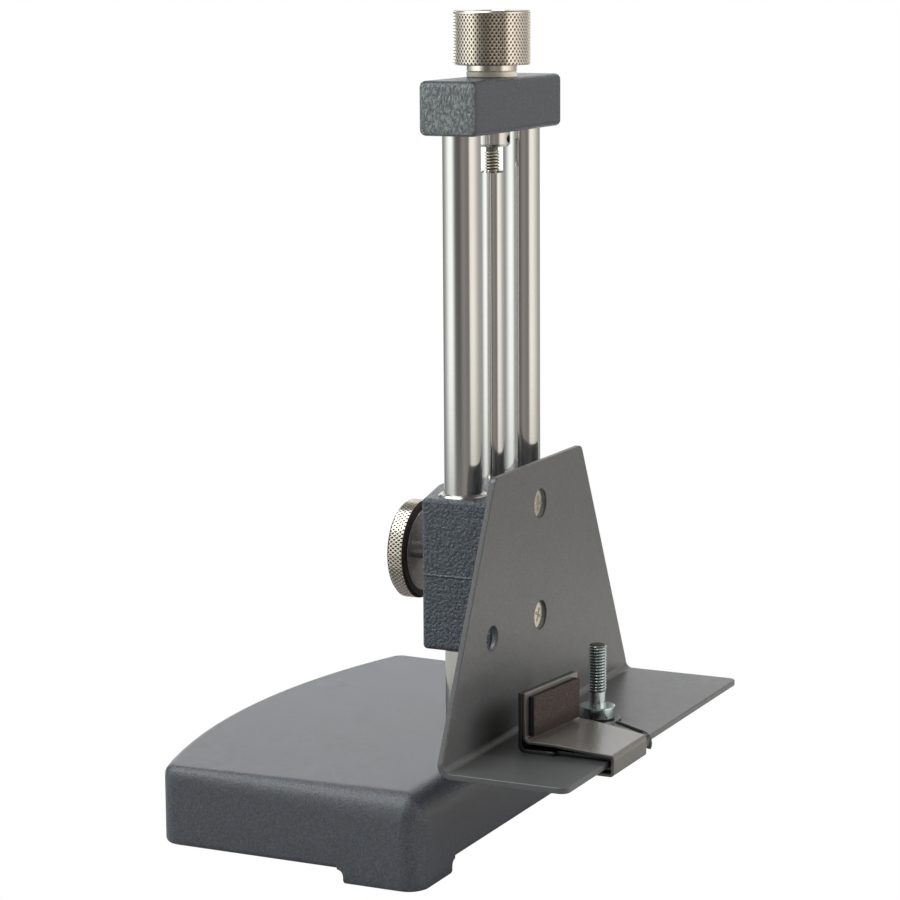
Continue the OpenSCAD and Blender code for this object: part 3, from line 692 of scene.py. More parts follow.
# Feed knob: a turned head with diamond knurling and a smooth neck, nickel plated, pressed on a
# spindle that a collar keeps under the bar. The spindle's thread feeds the rod below it.
class Pattern(Graph):
    """A geometry node tree with named inputs, which makes a plain mesh from them."""

    def __init__(self, name, inputs):
        super().__init__(bpy.data.node_groups.new(name, "GeometryNodeTree"))
        kinds = {int: "NodeSocketInt", float: "NodeSocketFloat"}
        self.inlets = {}
        for label, value in inputs.items():
            kind = kinds.get(type(value), "NodeSocketMaterial")
            self.inlets[label] = self.tree.interface.new_socket(
                label, in_out="INPUT", socket_type=kind)
        self.tree.interface.new_socket("Shape", in_out="OUTPUT",
                                       socket_type="NodeSocketGeometry")
        self.given_node = self.tree.nodes.new("NodeGroupInput")

    def given(self, label):
        return Wire(self, self.given_node.outputs[label])

    def close(self, shape):
        whole = self.add("GeometryNodeRealizeInstances", {0: shape})
        merged = self.add("GeometryNodeMergeByDistance", {0: whole, "Distance": 0.00002})
        painted = self.add("GeometryNodeSetMaterial",
                           {"Geometry": merged, "Material": self.given("Material")})
        self.add("NodeGroupOutput", {"Shape": painted})

    def make(self, name, values):
        piece = bpy.data.objects.new(name, bpy.data.meshes.new(name))
        scene.collection.objects.link(piece)
        grown = piece.modifiers.new(name, "NODES")
        grown.node_group = self.tree
        for label, value in values.items():
            grown[self.inlets[label].identifier] = value
        settle(piece)
        piece.data.transform(Matrix.Translation(metres((0, 0, 0))))
        return piece


# Diamond pits with a flat web between them, on two staggered grids, rolled up around Z. A pit is
# a diamond, drawn in once for the web and once more, sunk, for its floor.
knurl = Pattern("knurl", {"Radius": 0.0127, "Depth": 0.0004, "Around": 80, "Row": 0.0016,
                          "Rows": 12, "Low": 0.25, "Material": None})
radius, depth, around = knurl.given("Radius"), knurl.given("Depth"), knurl.given("Around")
row, rows = knurl.given("Row"), knurl.given("Rows")
column = radius * tau / around
diamond = knurl.add("GeometryNodeMeshCircle", {"Vertices": 4, "Radius": 1.0},
                    {"fill_type": "NGON"})
pit = diamond
chosen = True
for offset, share in ((0.0, 0.72), (-1.0, 0.35)):
    sunk = knurl.add("GeometryNodeExtrudeMesh",
                     {"Mesh": pit, "Selection": chosen, "Offset Scale": offset})
    chosen = Wire(knurl, sunk.socket.node.outputs["Top"])
    pit = knurl.add("GeometryNodeScaleElements",
                    {"Geometry": sunk, "Selection": chosen, "Scale": share})
pit = knurl.add("GeometryNodeTransform", {
    "Geometry": pit,
    "Scale": knurl.add("ShaderNodeCombineXYZ", {0: column * 0.5, 1: row * 0.5, 2: depth})})
field = knurl.add("GeometryNodeMeshGrid", {
    "Size X": column * (around - 1), "Size Y": row * (rows - 1),
    "Vertices X": around, "Vertices Y": rows})
shifted = knurl.add("GeometryNodeTransform", {
    "Geometry": field,
    "Translation": knurl.add("ShaderNodeCombineXYZ", {0: column * 0.5, 1: row * 0.5, 2: 0.0})})
both_fields = knurl.add("GeometryNodeJoinGeometry", {0: field})
knurl.feed(both_fields.socket.node.inputs[0], shifted)
studded = knurl.add("GeometryNodeRealizeInstances", {0: knurl.add(
    "GeometryNodeInstanceOnPoints", {"Points": both_fields, "Instance": pit})})
flat = knurl.add("GeometryNodeInputPosition")
angle = knurl.part(flat, "X") / radius
reach = radius + knurl.part(flat, "Z")
level = knurl.part(flat, "Y") + row * (rows - 1) * 0.5 + knurl.given("Low")
rolled = knurl.add("GeometryNodeSetPosition", {
    "Geometry": studded,
    "Position": knurl.add("ShaderNodeCombineXYZ", {
        0: reach * angle.math("COSINE"), 1: reach * angle.math("SINE"), 2: level})})
knurl.close(rolled)


def knurled(name, material, blank, radius, depth, around, row, low, high):
    """A knurled bar about Z, closed at both ends and then cut to the turned blank. Its rows run
    past both ends of the blank, so that the cut goes through whole pits."""
    piece = knurl.make(name, {
        "Radius": radius / 1000, "Depth": depth / 1000, "Around": around, "Row": row / 1000,
        "Rows": int((high - low) / row) + 4, "Low": (low - 1.5 * row) / 1000,
        "Material": material})
    work = bmesh.new()
    work.from_mesh(piece.data)
    middle = (low + high) / 2000
    half_length = (high - low + 8 * row) / 2000
    for side in (-1, 1):
        rim = [edge for edge in work.edges
               if edge.is_boundary and (edge.verts[0].co.z - middle) * side > 0]
        grown = bmesh.ops.extrude_edge_only(work, edges=rim)["geom"]
        for vertex in grown:
            if isinstance(vertex, bmesh.types.BMVert):
                vertex.co.z = middle + side * half_length
        ends = [edge for edge in grown
                if isinstance(edge, bmesh.types.BMEdge) and edge.is_boundary]
        bmesh.ops.contextual_create(work, geom=ends)
    bmesh.ops.recalc_face_normals(work, faces=work.faces)
    work.to_mesh(piece.data)
    work.free()
    carve(piece, [blank], "INTERSECT")
    return piece


class KnurledNickel(Finish):
    """Satin nickel, painted dark brown and dull in the pits of a knurl about an axis, as painted
    shade.
    """

    def __init__(self, name, radius, axis, level=0.0):
        super().__init__(name)
        self.first = self.along("X")
        self.second = self.along("Y") if axis == "Z" else self.along("Z") - level
        self.radius = self.out(self.first, self.second)
        self.pit_shade = (1 - self.step(self.radius, radius - 0.38, radius - 0.16)) * self.step(
            self.radius, radius - 0.75, radius - 0.55)
        self.turned = self.rings(axis=axis)
        self.bright = self.mix(self.noise(5, 3), (0.90, 0.84, 0.74), (0.80, 0.73, 0.62))


# The blank is a little larger than the knurl, so that their surfaces never coincide
knob_radius = 12.7
blank_radius = knob_radius + 0.06
neck_radius = 8.3
neck_low = 253.05
head_low = 255.05
head_top = 272.55
head_chamfer = 0.45
nickel = KnurledNickel("knob_nickel", knob_radius, "Z")
# The knurl's pits are painted dark brown, as painted shade
nickel.set({"Base Color": nickel.mix(nickel.pit_shade, nickel.bright, (0.14, 0.095, 0.062)),
            "Metallic": 1 - 0.8 * nickel.pit_shade,
            "Roughness": 0.14 + 0.08 * nickel.turned + 0.4 * nickel.pit_shade,
            "Normal": nickel.bump(nickel.turned, 0.002)})
knob_blank = lathe([(3.01, neck_low), (8.1, neck_low), (neck_radius, 253.25),
                    (neck_radius, head_low), (12.3, head_low),
                    (blank_radius, head_low + head_chamfer),
                    (blank_radius, head_top - head_chamfer), (12.3, head_top), (6.35, head_top),
                    (5.55, 271.75), (0, 271.75), (0, 263.75), (3.01, 263.75)], 176)
knob = knurled("knob_knurled", nickel.material, knob_blank, knob_radius, depth=0.4, around=56,
               row=2.0, low=head_low + head_chamfer, high=head_top - head_chamfer)
# The smooth neck, and the turned rim round the top face
neck = lathe([(3.01, neck_low), (8.1, neck_low), (neck_radius, 253.25),
              (neck_radius, head_low + 0.25), (3.01, head_low + 0.25)], closed=True)
rim = lathe([(11, 271.5), (12.6, 271.5), (12.74, 271.6), (12.74, 272.1), (12.3, 272.54),
             (11, 272.54)], closed=True)
carve(knob, [neck, rim], "UNION")
dress(knob, nickel.material, "feed_knob", "nickel", "adjusting_knob", sharp=25)

# A screw thread is a fine cylinder whose radius follows the helix, eased off at both ends
thread = Pattern("thread", {"Radius": 0.003, "Pitch": 0.001, "Depth": 0.0006, "Low": 0.0,
                            "High": 0.01, "Tip": 0.0005, "Rings": 100, "Material": None})
thread_radius = thread.given("Radius")
low, high = thread.given("Low"), thread.given("High")
core = thread.add("GeometryNodeMeshCylinder", {
    "Vertices": 64, "Side Segments": thread.given("Rings"), "Radius": 1.0, "Depth": high - low})
spot = thread.add("GeometryNodeInputPosition")
spot_x, spot_y = thread.part(spot, "X"), thread.part(spot, "Y")
height = thread.part(spot, "Z") + (high - low) * 0.5
climb = height / thread.given("Pitch") - spot_y.math("ARCTAN2", spot_x) * (1 / tau)
# 0 on the flat crest, 1 on the flat root, and straight between them
flank = (climb.math("FRACT") - 0.5).math("ABSOLUTE") * 2.7 - 0.25
flank = flank.most(0.0).least(1.0)
easing = (height.least(high - low - height) - thread.given("Tip")).least(0.0)
spread = (thread_radius - thread.given("Depth") * flank).least(thread_radius + easing)
thread.close(thread.add("GeometryNodeSetPosition", {
    "Geometry": core,
    "Position": thread.add("ShaderNodeCombineXYZ", {
        0: spot_x * spread, 1: spot_y * spread, 2: height + low})}))


def threaded(name, material, radius, low, high, tip, shapes, x=0, y=0, pitch=1.0):
    """A thread about Z with turned shapes joined to it, moved to its place."""
    rings_a_turn = 12
    piece = thread.make(name, {
        "Radius": radius / 1000, "Pitch": pitch / 1000, "Depth": pitch * 0.6 / 1000,
        "Low": low / 1000, "High": high / 1000, "Tip": tip / 1000,
        "Rings": int((high - low) / pitch * rings_a_turn), "Material": material})
    carve(piece, shapes, "UNION")
    piece.data.transform(Matrix.Translation((x / 1000, y / 1000, 0)))
    return piece


def thread_steel(name, tone, valley, crest, roughness, x=0, y=0):
    """Bright steel, painted dark in the valleys of a thread about an upright axis, as painted
    shade.
    """
    steel = Finish(name)
    radius = steel.out(steel.along("X") - x, steel.along("Y") - y)
    valley_shade = 1 - steel.step(radius, valley, crest)
    steel.set({"Base Color": steel.mix(valley_shade, tone, (0.035, 0.034, 0.03)),
               "Metallic": 1 - 0.7 * valley_shade,
               "Roughness": roughness + 0.06 * steel.rings() + 0.3 * valley_shade})
    return steel


spindle_steel = thread_steel("spindle_steel", (0.86, 0.82, 0.70), valley=1.85, crest=2.2,
                             roughness=0.2)
spindle_shank = lathe([(0, 226), (1.95, 226), (1.95, 228.5), (3, 228.5), (3, 263.55),
                       (2.8, 263.74), (0, 263.74)])
spindle = threaded("spindle_threaded", spindle_steel.material, radius=2.4, low=196.5, high=227.2,
                   tip=0.6, shapes=[spindle_shank])
dress(spindle, spindle_steel.material, "feed_knob", "ground_steel", "spindle", sharp=25)

collar = solid("collar_turned", lathe(
    [(3.02, 228.5), (5.2, 228.5), (6, 229.3), (6, 233.25), (5.8, 233.45), (3.02, 233.45)],
    closed=True))
collar_screw_level = 230.95
carve(collar, [put(bore(1.26, -8, 0, 32), 0, 0, collar_screw_level, "Y")])
bush_steel = ground_steel("bush_steel", (0.70, 0.69, 0.66), 0.16)
dress(collar, bush_steel.material, "feed_knob", "bush_steel", "set_collar")


# Centre rod: an 8 mm steel rod, ground, chamfered at both ends and tapped at its top for the
# spindle. It rises and falls as the knob turns, and the clamp holds the carriage on it.
rod_radius = 4
rod_foot = 41
rod_top = 220.5
rod_chamfer = 0.6
rod = solid("rod_ground", lathe(
    [(0, rod_foot), (rod_radius - rod_chamfer, rod_foot), (rod_radius, rod_foot + rod_chamfer),
     (rod_radius, rod_top - rod_chamfer), (rod_radius - rod_chamfer, rod_top), (2.45, rod_top),
     (2.45, 180.5), (0, 180.5)]))
dress(rod, column_steel.material, "feed_rod", "ground_steel", "centre_rod")


# Carriage block: a casting with a flat front and a back that tapers out to the clamp's boss,
# coarsely enamelled. Steel bushes pressed into it run on the columns.
clamp_level = 91.5
screw_levels = (72.5, 110.5)
block_low = 65.6
block_top = 116
block_half = 34
block_front = -15.25
block_back = 10
boss_half = 9
boss_root = 16.5
block_corner = 1.6
block_edge = 1.5
block_outline = rounded([(x, y, block_corner) for x, y in (
    (-block_half, block_front), (block_half, block_front), (block_half, block_back),
    (boss_half, boss_root), (-boss_half, boss_root), (-block_half, block_back))])
block = solid("block_cast", slab(block_outline, block_low, block_top, block_edge, block_edge))
boss = put(lathe([(0, 10), (boss_half, 10), (boss_half, 19.2), (8.75, 19.75), (8.2, 20),
                  (0, 20)]), 0, 0, clamp_level, "Y")
carve(block, [boss], "UNION")
column_way = lathe([(0, 60), (8.21, 60), (8.21, 79.01), (6.95, 79.01), (6.95, 102.59),
                    (8.21, 102.59), (8.21, 120), (0, 120)])
rod_way = bore(rod_radius + 0.05, 60, 120, 64)
clamp_way = bore(3.05, 0, 24, 64)
screw_way = bore(2.7, -18, -4.5, 48)
carve(block, [put(column_way, -column_x), put(column_way, column_x), put(rod_way),
              put(clamp_way, 0, 0, clamp_level, "Y"),
              *(put(screw_way, 0, 0, level, "Y") for level in screw_levels)])
seam_level = 90.6


def casting_seam(paint, height, enamel, dull):
    """Coarse bumps all over, with painted shade in the hollows between them, and the seam that the
    two halves of the mould left.
    """
    seam = 1 - paint.step((paint.along("Z") - seam_level).math("ABSOLUTE"), 0.1, 0.5)
    coarse = paint.noise(0.95, 3, 0.55)
    hollow_shade = paint.mix(paint.step(coarse, 0.32, 0.62), (0.026, 0.036, 0.052), enamel)
    return height * 0.3 + coarse * 0.9 + seam * 0.3, hollow_shade, dull - 0.05


block_paint = cast_paint("block_enamel", (0.060, 0.081, 0.112), grain=0.7, depth=0.95,
                         roughness=0.3, grain_shade=0.4, gloss=1.0, marks=casting_seam)
dress(block, block_paint.material, "carriage", "cast_paint", "carriage_block")

# Four bushes, each a turned tube with chamfered ends
bush_radii = (6.3, 6.8, 7.7, 8.2, 8.2, 7.7, 6.8, 6.3)
bush_rises = (0.5, 0, 0, 0.5, 13.5, 14, 14, 13.5)
for level, bush_low in (("upper", 102.6), ("lower", 65.0)):
    ring = lathe([(radius, bush_low + rise) for radius, rise in zip(bush_radii, bush_rises)],
                 closed=True)
    for side, x in (("left", -column_x), ("right", column_x)):
        bush = solid(f"bush_{level}_{side}_turned", put(ring, x))
        dress(bush, bush_steel.material, "carriage", "bush_steel", f"bush_{level}_{side}")


# Face plate: 2 mm steel sheet, laser cut and bent to an upright with a shelf, and sprayed a fine
# textured grey. Two countersunk screws hold it to the block; a third hole is spare.
plate_front = -17.25
plate_thick = 2.0
shelf_top = 37.5
bend_inside = 2.5
shelf_edge = -59.5
shelf_half = 76
plate_top = 124.75
plate_top_half = 35
shelf_flat = plate_front - bend_inside - shelf_edge
bend_length = (bend_inside + plate_thick / 2) * pi / 2
upright_start = shelf_flat + bend_length
plate_end = upright_start + plate_top - shelf_top - bend_inside


def sheet(outline, holes, creases, thick, edge, fold):
    """A bent sheet from its flat outline. Holes are (x, s, [(radius, depth), ...]) from the face
    to the back; creases are the s values at which the mesh needs a line across."""
    marks = sorted(creases)
    ring = []
    for i, (x, s) in enumerate(outline):
        next_x, next_s = outline[(i + 1) % len(outline)]
        ring.append((x, s))
        crossed = [m for m in marks if min(s, next_s) + 1e-6 < m < max(s, next_s) - 1e-6]
        for m in crossed if next_s > s else crossed[::-1]:
            share = (m - s) / (next_s - s)
            ring.append((x + (next_x - x) * share, m))
    depths = [(edge * (1 - cos(pi / 2 * i / 3)), edge * (1 - sin(pi / 2 * i / 3)))
              for i in range(3)]
    levels = depths + [(edge, 0), (thick - edge, 0)]
    levels += [(thick - depth, into) for depth, into in reversed(depths)]
    points, faces = [], []

    def wall(rings):
        for flat, depth in rings:
            points.extend(fold(x, s, depth) for x, s in flat)
        count = len(rings[0][0])
        start = len(points) - count * len(rings)
        for row in range(len(rings) - 1):
            for i in range(count):
                here, beside = start + row * count + i, start + row * count + (i + 1) % count
                faces.append((here, beside, beside + count, here + count))
        return rings[0][0], rings[-1][0]

    face_rings, back_rings = [], []
    near, far = wall([(inset(ring, into), depth) for depth, into in levels])
    face_rings.append(near)
    back_rings.append(far)
    for x, s, profile in holes:
        near, far = wall([([(x + radius * cos(tau * i / 48), s + radius * sin(tau * i / 48))
                            for i in range(48)], depth) for radius, depth in profile])
        face_rings.append(near)
        back_rings.append(far)
    for rings, depth, column in ((face_rings, 0, 0), (back_rings, thick, -1)):
        flat, edges = [], []
        for loop in rings:
            start = len(flat)
            flat += [Vector(point) for point in loop]
            edges += [(start + i, start + (i + 1) % len(loop)) for i in range(len(loop))]
        for m in marks:
            on_mark = [i for i in range(len(rings[0])) if abs(flat[i].y - m) < 1e-4]
            if len(on_mark) > 1:
                edges.append((min(on_mark, key=lambda i: flat[i].x),
                              max(on_mark, key=lambda i: flat[i].x)))
        made, _, triangles, _, _, _ = delaunay_2d_cdt(flat, edges, [], 1, 1e-5)
        start = len(points)
        points.extend(fold(p.x, p.y, depth) for p in made)
        for triangle in triangles:
            middle = sum((made[i] for i in triangle), Vector((0, 0))) / 3
            if all((middle - Vector((x, s))).length > profile[column][0] * 0.98
                   for x, s, profile in holes):
                faces.append(tuple(start + i for i in triangle))
    return points, faces


def plate_fold(x, s, depth):
    """Where a point of the flat plate lies once it is bent. It runs from the shelf's edge."""
    if s <= shelf_flat:
        return x, shelf_edge + s, shelf_top - depth
    if s >= upright_start:
        return x, plate_front + depth, shelf_top + bend_inside + s - upright_start
    turn = (s - shelf_flat) / bend_length * pi / 2
    reach = bend_inside + depth
    return (x, plate_front - bend_inside + reach * sin(turn),
            shelf_top + bend_inside - reach * cos(turn))


plate_corner = 3
plate_outline = rounded([(x, s, plate_corner) for x, s in (
    (-shelf_half, 0), (shelf_half, 0), (shelf_half, upright_start), (plate_top_half, plate_end),
    (-plate_top_half, plate_end), (-shelf_half, upright_start))])
bend_lines = [shelf_flat + bend_length * i / 12 for i in range(13)]
bend_lines.append(upright_start + 4)
countersink = [(5.15, 0), (5.02, 0.05), (4.95, 0.15), (4.95, 0.66), (3.61, plate_thick)]
spare_hole = [(4.5, 0), (4.4, 0.1), (4.05, 0.5), (4.0, 0.6), (4.0, 1.75), (4.25, plate_thick)]
spare_hole_x = -38.5
hole_rises = [upright_start + z - shelf_top - bend_inside for z in screw_levels]
plate_holes = [(0, rise, countersink) for rise in hole_rises]
plate_holes.append((spare_hole_x, hole_rises[0], spare_hole))
face_plate = solid("face_plate_bent",
                   sheet(plate_outline, plate_holes, bend_lines, plate_thick, 0.35, plate_fold))
sheet_paint = cast_paint("sheet_texture", (0.080, 0.083, 0.087), grain=0.5, depth=0.10,
                         roughness=0.34, grain_shade=0.24)
dress(face_plate, sheet_paint.material, "carriage", "sheet_paint", "face_plate")


# Plate screws: two countersunk cross-head screws, nickel plated, sunk a little under the face of
# the plate. Their crosses stand as they came to rest when they were tightened.
screw_sunk = 1.0


def plate_screw(level, turn):
    """One screw along Y with its cross turned by so many degrees."""
    face = plate_front + screw_sunk
    screw = solid("screw", put(lathe(
        [(0, face), (4.25, face), (4.5, face + 0.1), (4.6, face + 0.3), (2.5, face + 2.4),
         (2.5, face + 9.2), (1.7, face + 9.99), (0, face + 9.99)], 64), 0, 0, level, "Y"))
    arm, half = 2.4, 0.55
    root = half + 0.15
    quarter = [(arm, -half), (arm, half), (root, half), (half, root)]
    cross = [Matrix.Rotation(radians(turn + 90 * i), 2) @ Vector(point)
             for i in range(4) for point in quarter]
    rings = [[(*(point * share), face + sunk) for point in cross]
             for sunk, share in ((-0.5, 1.06), (0, 1.0), (1.0, 0.72), (1.8, 0.3))]
    carve(screw, [put(loft(rings), 0, 0, level, "Y")])
    return screw


screw_nickel = ground_steel("screw_nickel", (0.85, 0.79, 0.68), 0.26)
upper_screw = plate_screw(screw_levels[1], 4)
lower_screw = plate_screw(screw_levels[0], 28)


def merge(name, pieces):
    """Several pieces made one, because the CAD model has them as one node."""
    work = bmesh.new()
    for piece in pieces:
        work.from_mesh(piece.data)
        bpy.data.objects.remove(piece)
    mesh = bpy.data.meshes.new(name)
    work.to_mesh(mesh)
    work.free()
    whole = bpy.data.objects.new(name, mesh)
    scene.collection.objects.link(whole)
    return whole


plate_screws = merge("plate_screws_turned", [upper_screw, lower_screw])
dress(plate_screws, screw_nickel.material, "carriage", "nickel", "plate_screws")


# Clamp: a knurled disc on a shouldered screw behind the block. Turned in, the screw presses a
# plug on the rod, and the carriage then moves with it.
clamp_radius = 16.7
clamp_blank = lathe([(3.51, 25.3), (13.7, 25.3), (13.9, 25.5), (15.8, 25.5),
                     (clamp_radius + 0.05, 26.35), (clamp_radius + 0.05, 31.1), (15.8, 32.1),
                     (14.4, 32.1), (13.8, 31.7), (0, 31.7), (0, 28.75), (3.51, 28.75)], 208)
clamp_nickel = KnurledNickel("clamp_nickel", clamp_radius, "Y", clamp_level)
# The face towards the block is brushed, with a dark chamfer round it
inner_side = 1 - clamp_nickel.step(clamp_nickel.along("Y"), 26.2, 26.6)
face = (1 - clamp_nickel.step(clamp_nickel.radius, 13.2, 13.9)) * inner_side
chamfer = clamp_nickel.step(clamp_nickel.radius, 13.6, 14.1) * inner_side
spoke = clamp_nickel.add("ShaderNodeCombineXYZ", {
    0: clamp_nickel.first / clamp_nickel.radius, 1: clamp_nickel.second / clamp_nickel.radius})
spokes = clamp_nickel.add("ShaderNodeTexNoise", {"Vector": spoke, "Scale": 22.0, "Detail": 3.0})
brushed = clamp_nickel.mix(spokes, (0.78, 0.70, 0.64), (0.50, 0.44, 0.40))
# The knurl's pits carry painted shade, and the chamfer round the inner face is painted dark brown
# with them
pit_shade_and_dark_chamfer = clamp_nickel.pit_shade.most(chamfer)
plated = clamp_nickel.mix(pit_shade_and_dark_chamfer, clamp_nickel.bright, (0.05, 0.03, 0.022))
clamp_nickel.set({"Base Color": clamp_nickel.mix(face, plated, brushed),
                  "Metallic": 1 - 0.8 * pit_shade_and_dark_chamfer.most(face * 0.5),
                  "Roughness": 0.14 + 0.08 * clamp_nickel.turned + 0.35 * pit_shade_and_dark_chamfer,
                  "Normal": clamp_nickel.bump(clamp_nickel.turned, 0.002)})
clamp_knob = knurled("clamp_knob_knurled", clamp_nickel.material, clamp_blank, clamp_radius,
                     depth=0.45, around=72, row=1.8, low=25.9, high=31.6)
# It was made upright about the columns' plane, and is turned to lie along Y behind the block
clamp_knob.data.transform(Matrix.Translation(metres((0, 0, clamp_level)))
                          @ Matrix.Rotation(-pi / 2, 4, "X")
                          @ Matrix.Translation(metres((0, 0, 0))).inverted())
dress(clamp_knob, clamp_nickel.material, "clamp", "nickel", "clamp_knob", sharp=25)
clamp_screw = solid("clamp_screw_turned", put(lathe(
    [(0, 8.05), (2.6, 8.05), (3, 8.5), (3, 20.5), (3.3, 20.5), (3.5, 20.7), (3.5, 28.7),
     (0, 28.7)]), 0, 0, clamp_level, "Y"))
dress(clamp_screw, bush_steel.material, "clamp", "bush_steel", "clamp_screw")


# Clip: a black sheet steel carrier with a tab and a lip over the shelf's edge, a painted leaf
# nested on it and hooked under the shelf, a pad glued to the leaf's tab, and a zinc plated stud.
tab_turn = radians(6.6)
tab_way = Vector((cos(tab_turn), -sin(tab_turn)))
tab_width = 34
tab_top = 57.1
clip_left = -44


def bent_strip(name, left_path, right_path, thick, bevel=0.3):
    """A bent sheet between its left and right edges, given as points on its seen face."""
    columns = 10
    points = []
    for left, right in zip(left_path, right_path):
        for i in range(columns + 1):
            points.append(tuple(Vector(left).lerp(Vector(right), i / columns)))
    faces = []
    for row in range(len(left_path) - 1):
        for i in range(columns):
            here = row * (columns + 1) + i
            faces.append((here, here + 1, here + columns + 2, here + columns + 1))
    mesh = bpy.data.meshes.new(name)
    mesh.from_pydata([metres(point) for point in points], [], faces)
    piece = bpy.data.objects.new(name, mesh)
    scene.collection.objects.link(piece)
    wall = piece.modifiers.new("thickness", "SOLIDIFY")
    wall.thickness = thick / 1000
    wall.offset = 1
    wall.use_even_offset = True
    edge = piece.modifiers.new("edges", "BEVEL")
    edge.width = bevel / 1000
    edge.segments = 3
    edge.limit_method = "ANGLE"
    edge.angle_limit = radians(50)
    settle(piece)
    return piece


def folded(start, heading, parts, step=12):
    """A path of straights (length,) and bends (angle, radius) as (distance, height) points."""
    point, heading = Vector(start), radians(heading)
    path = [tuple(point)]
    for part in parts:
        if len(part) == 1:
            point = point + Vector((cos(heading), sin(heading))) * part[0]
            path.append(tuple(point))
            continue
        angle, radius = radians(part[0]), part[1]
        side = Vector((-sin(heading), cos(heading))) * (1 if angle > 0 else -1)
        centre, count = point + side * radius, max(2, round(abs(part[0]) / step))
        for i in range(1, count + 1):
            path.append(tuple(centre + Matrix.Rotation(angle * i / count, 2) @ (-side) * radius))
        point, heading = Vector(path[-1]), heading + angle
    return path


# The leaf: distances are along Y and heights along Z, seen from the gauge's left end. It comes
# down the tab, runs flat to the crease, slopes to the shelf's edge and hooks under it.
leaf_thick = 1.1
leaf_level = 41.6
leaf_edge_level = 40.01
leaf_face = -62.06
leaf_low = 32.94
leaf_hook_end = -55.96
leaf_right_x = -16
leaf_bend = 1.2
edge_bend = 1.45
crease = -40.9
crease_radius = 1.0
slope = atan2(leaf_level - leaf_edge_level, crease - leaf_face)
leaf_back = -30.11
tab_face = leaf_back - leaf_thick / cos(tab_turn)
flat_run = tab_face - leaf_bend - crease
slope_run = (crease - leaf_face - edge_bend) / cos(slope)
drop_end = leaf_level - slope_run * sin(slope) - edge_bend
# Short straights beside the bends keep the shading of the flat faces even
beside_bend = 0.3
leaf_path = folded((tab_face, tab_top), -90, [
    (tab_top - leaf_level - leaf_bend - beside_bend,), (beside_bend,), (-90, leaf_bend),
    (flat_run - beside_bend,), (beside_bend,), (degrees(slope), crease_radius),
    (slope_run * 0.5,), (slope_run * 0.5 - 0.05,), (90 - degrees(slope), edge_bend),
    (drop_end - leaf_low - edge_bend,), (90, edge_bend),
    (leaf_hook_end - leaf_face - edge_bend,)])
# Behind the crease the right edge follows the tab's turn, and it widens towards the tab
full_width_room = 3.9
full_width_y = tab_face - leaf_bend - full_width_room
leaf_left, leaf_right = [], []
tab_end_x = clip_left + tab_width * tab_way.x
for y, z in leaf_path:
    on_tab = min(1, max(0, (y - crease) / (tab_face - leaf_bend - crease)))
    if z < leaf_level - 0.01:
        on_tab = 0
    back_y = y - tab_width * sin(tab_turn) * on_tab
    reach = min(1, max(0, (back_y - leaf_face) / (full_width_y - leaf_face)))
    leaf_left.append((clip_left, y, z))
    leaf_right.append((leaf_right_x + (tab_end_x - leaf_right_x) * reach, back_y, z))
leaf = bent_strip("clip_leaf_bent", leaf_left, leaf_right, leaf_thick)


def shaded_lip_and_edge(paint, height, enamel, dull):
    """Painted shade: darker on the lip over the shelf's edge and on the cut edge at the left."""
    lip = 1 - paint.step(paint.along("Z"), 37.6, 39.4)
    cut_edge = 1 - paint.step(paint.along("X"), clip_left + 0.2, clip_left + 0.4)
    dark = (lip * 0.75).most(cut_edge * 0.8)
    return height, paint.mix(dark, enamel, (0.030, 0.027, 0.025)), dull


leaf_paint = cast_paint("leaf_paint", (0.130, 0.121, 0.114), grain=0.6, depth=0.03,
                        roughness=0.2, grain_shade=0.12, gloss=1.0, coat=0.35, marks=shaded_lip_and_edge)
dress(leaf, leaf_paint.material, "clip", "leaf_paint", "clip_leaf")

# The carrier: its flat outline, with s measured from the end of its hook under the shelf
carrier_thick = 1.35
lip_face = -60.95
lip_low = 34.05
hook_end = -55.5
carrier_top = 38.9
lip_bend = 1.6
stud_x, stud_y = 2.3, -36.9
ear_radius = 8
hook_bend = 1.6
hook_run = hook_end - lip_face - hook_bend
bend_run = lip_bend * pi / 2
lip_start = hook_run + bend_run
lip_run = lip_start + carrier_top - lip_bend - lip_low - hook_bend
tab_bend = 2.2


def flat_s(y):
    """How far along the flat sheet the top of the carrier passes a place along Y."""
    return lip_run + bend_run + y - (lip_face + lip_bend)


def carrier_fold(x, s, depth):
    """Where a point of the flat carrier lies once its hook, lip and top are bent."""
    if s <= hook_run:
        return x, hook_end - s, lip_low + depth
    if s <= lip_start:
        turn = (s - hook_run) / hook_bend
        reach = hook_bend - depth
        return (x, lip_face + hook_bend - reach * sin(turn),
                lip_low + hook_bend - reach * cos(turn))
    if s <= lip_run:
        return x, lip_face + depth, lip_low + hook_bend + s - lip_start
    if s >= lip_run + bend_run:
        return x, lip_face + lip_bend + s - lip_run - bend_run, carrier_top - depth
    turn = (s - lip_run) / lip_bend
    reach = lip_bend - depth
    return (x, lip_face + lip_bend - reach * cos(turn), carrier_top - lip_bend + reach * sin(turn))


tab_back = -28.7
tab_back_start = Vector((clip_left, tab_back))
bend_start = tab_back_start - Vector((0, tab_bend))
bend_end = tab_back_start + tab_way * tab_width - Vector((0, tab_bend))
carrier_right = -10
# In front of the step the carrier's left edge stands back from the leaf's
edge_gap = 2.5
step_y = -41.2
plan = [(clip_left + edge_gap, 0, 0.6), (carrier_right, 0, 0.6),
        (carrier_right, flat_s(lip_face + lip_bend), 0),
        (stud_x - 2.6, flat_s(stud_y - ear_radius + 0.4), 0)]
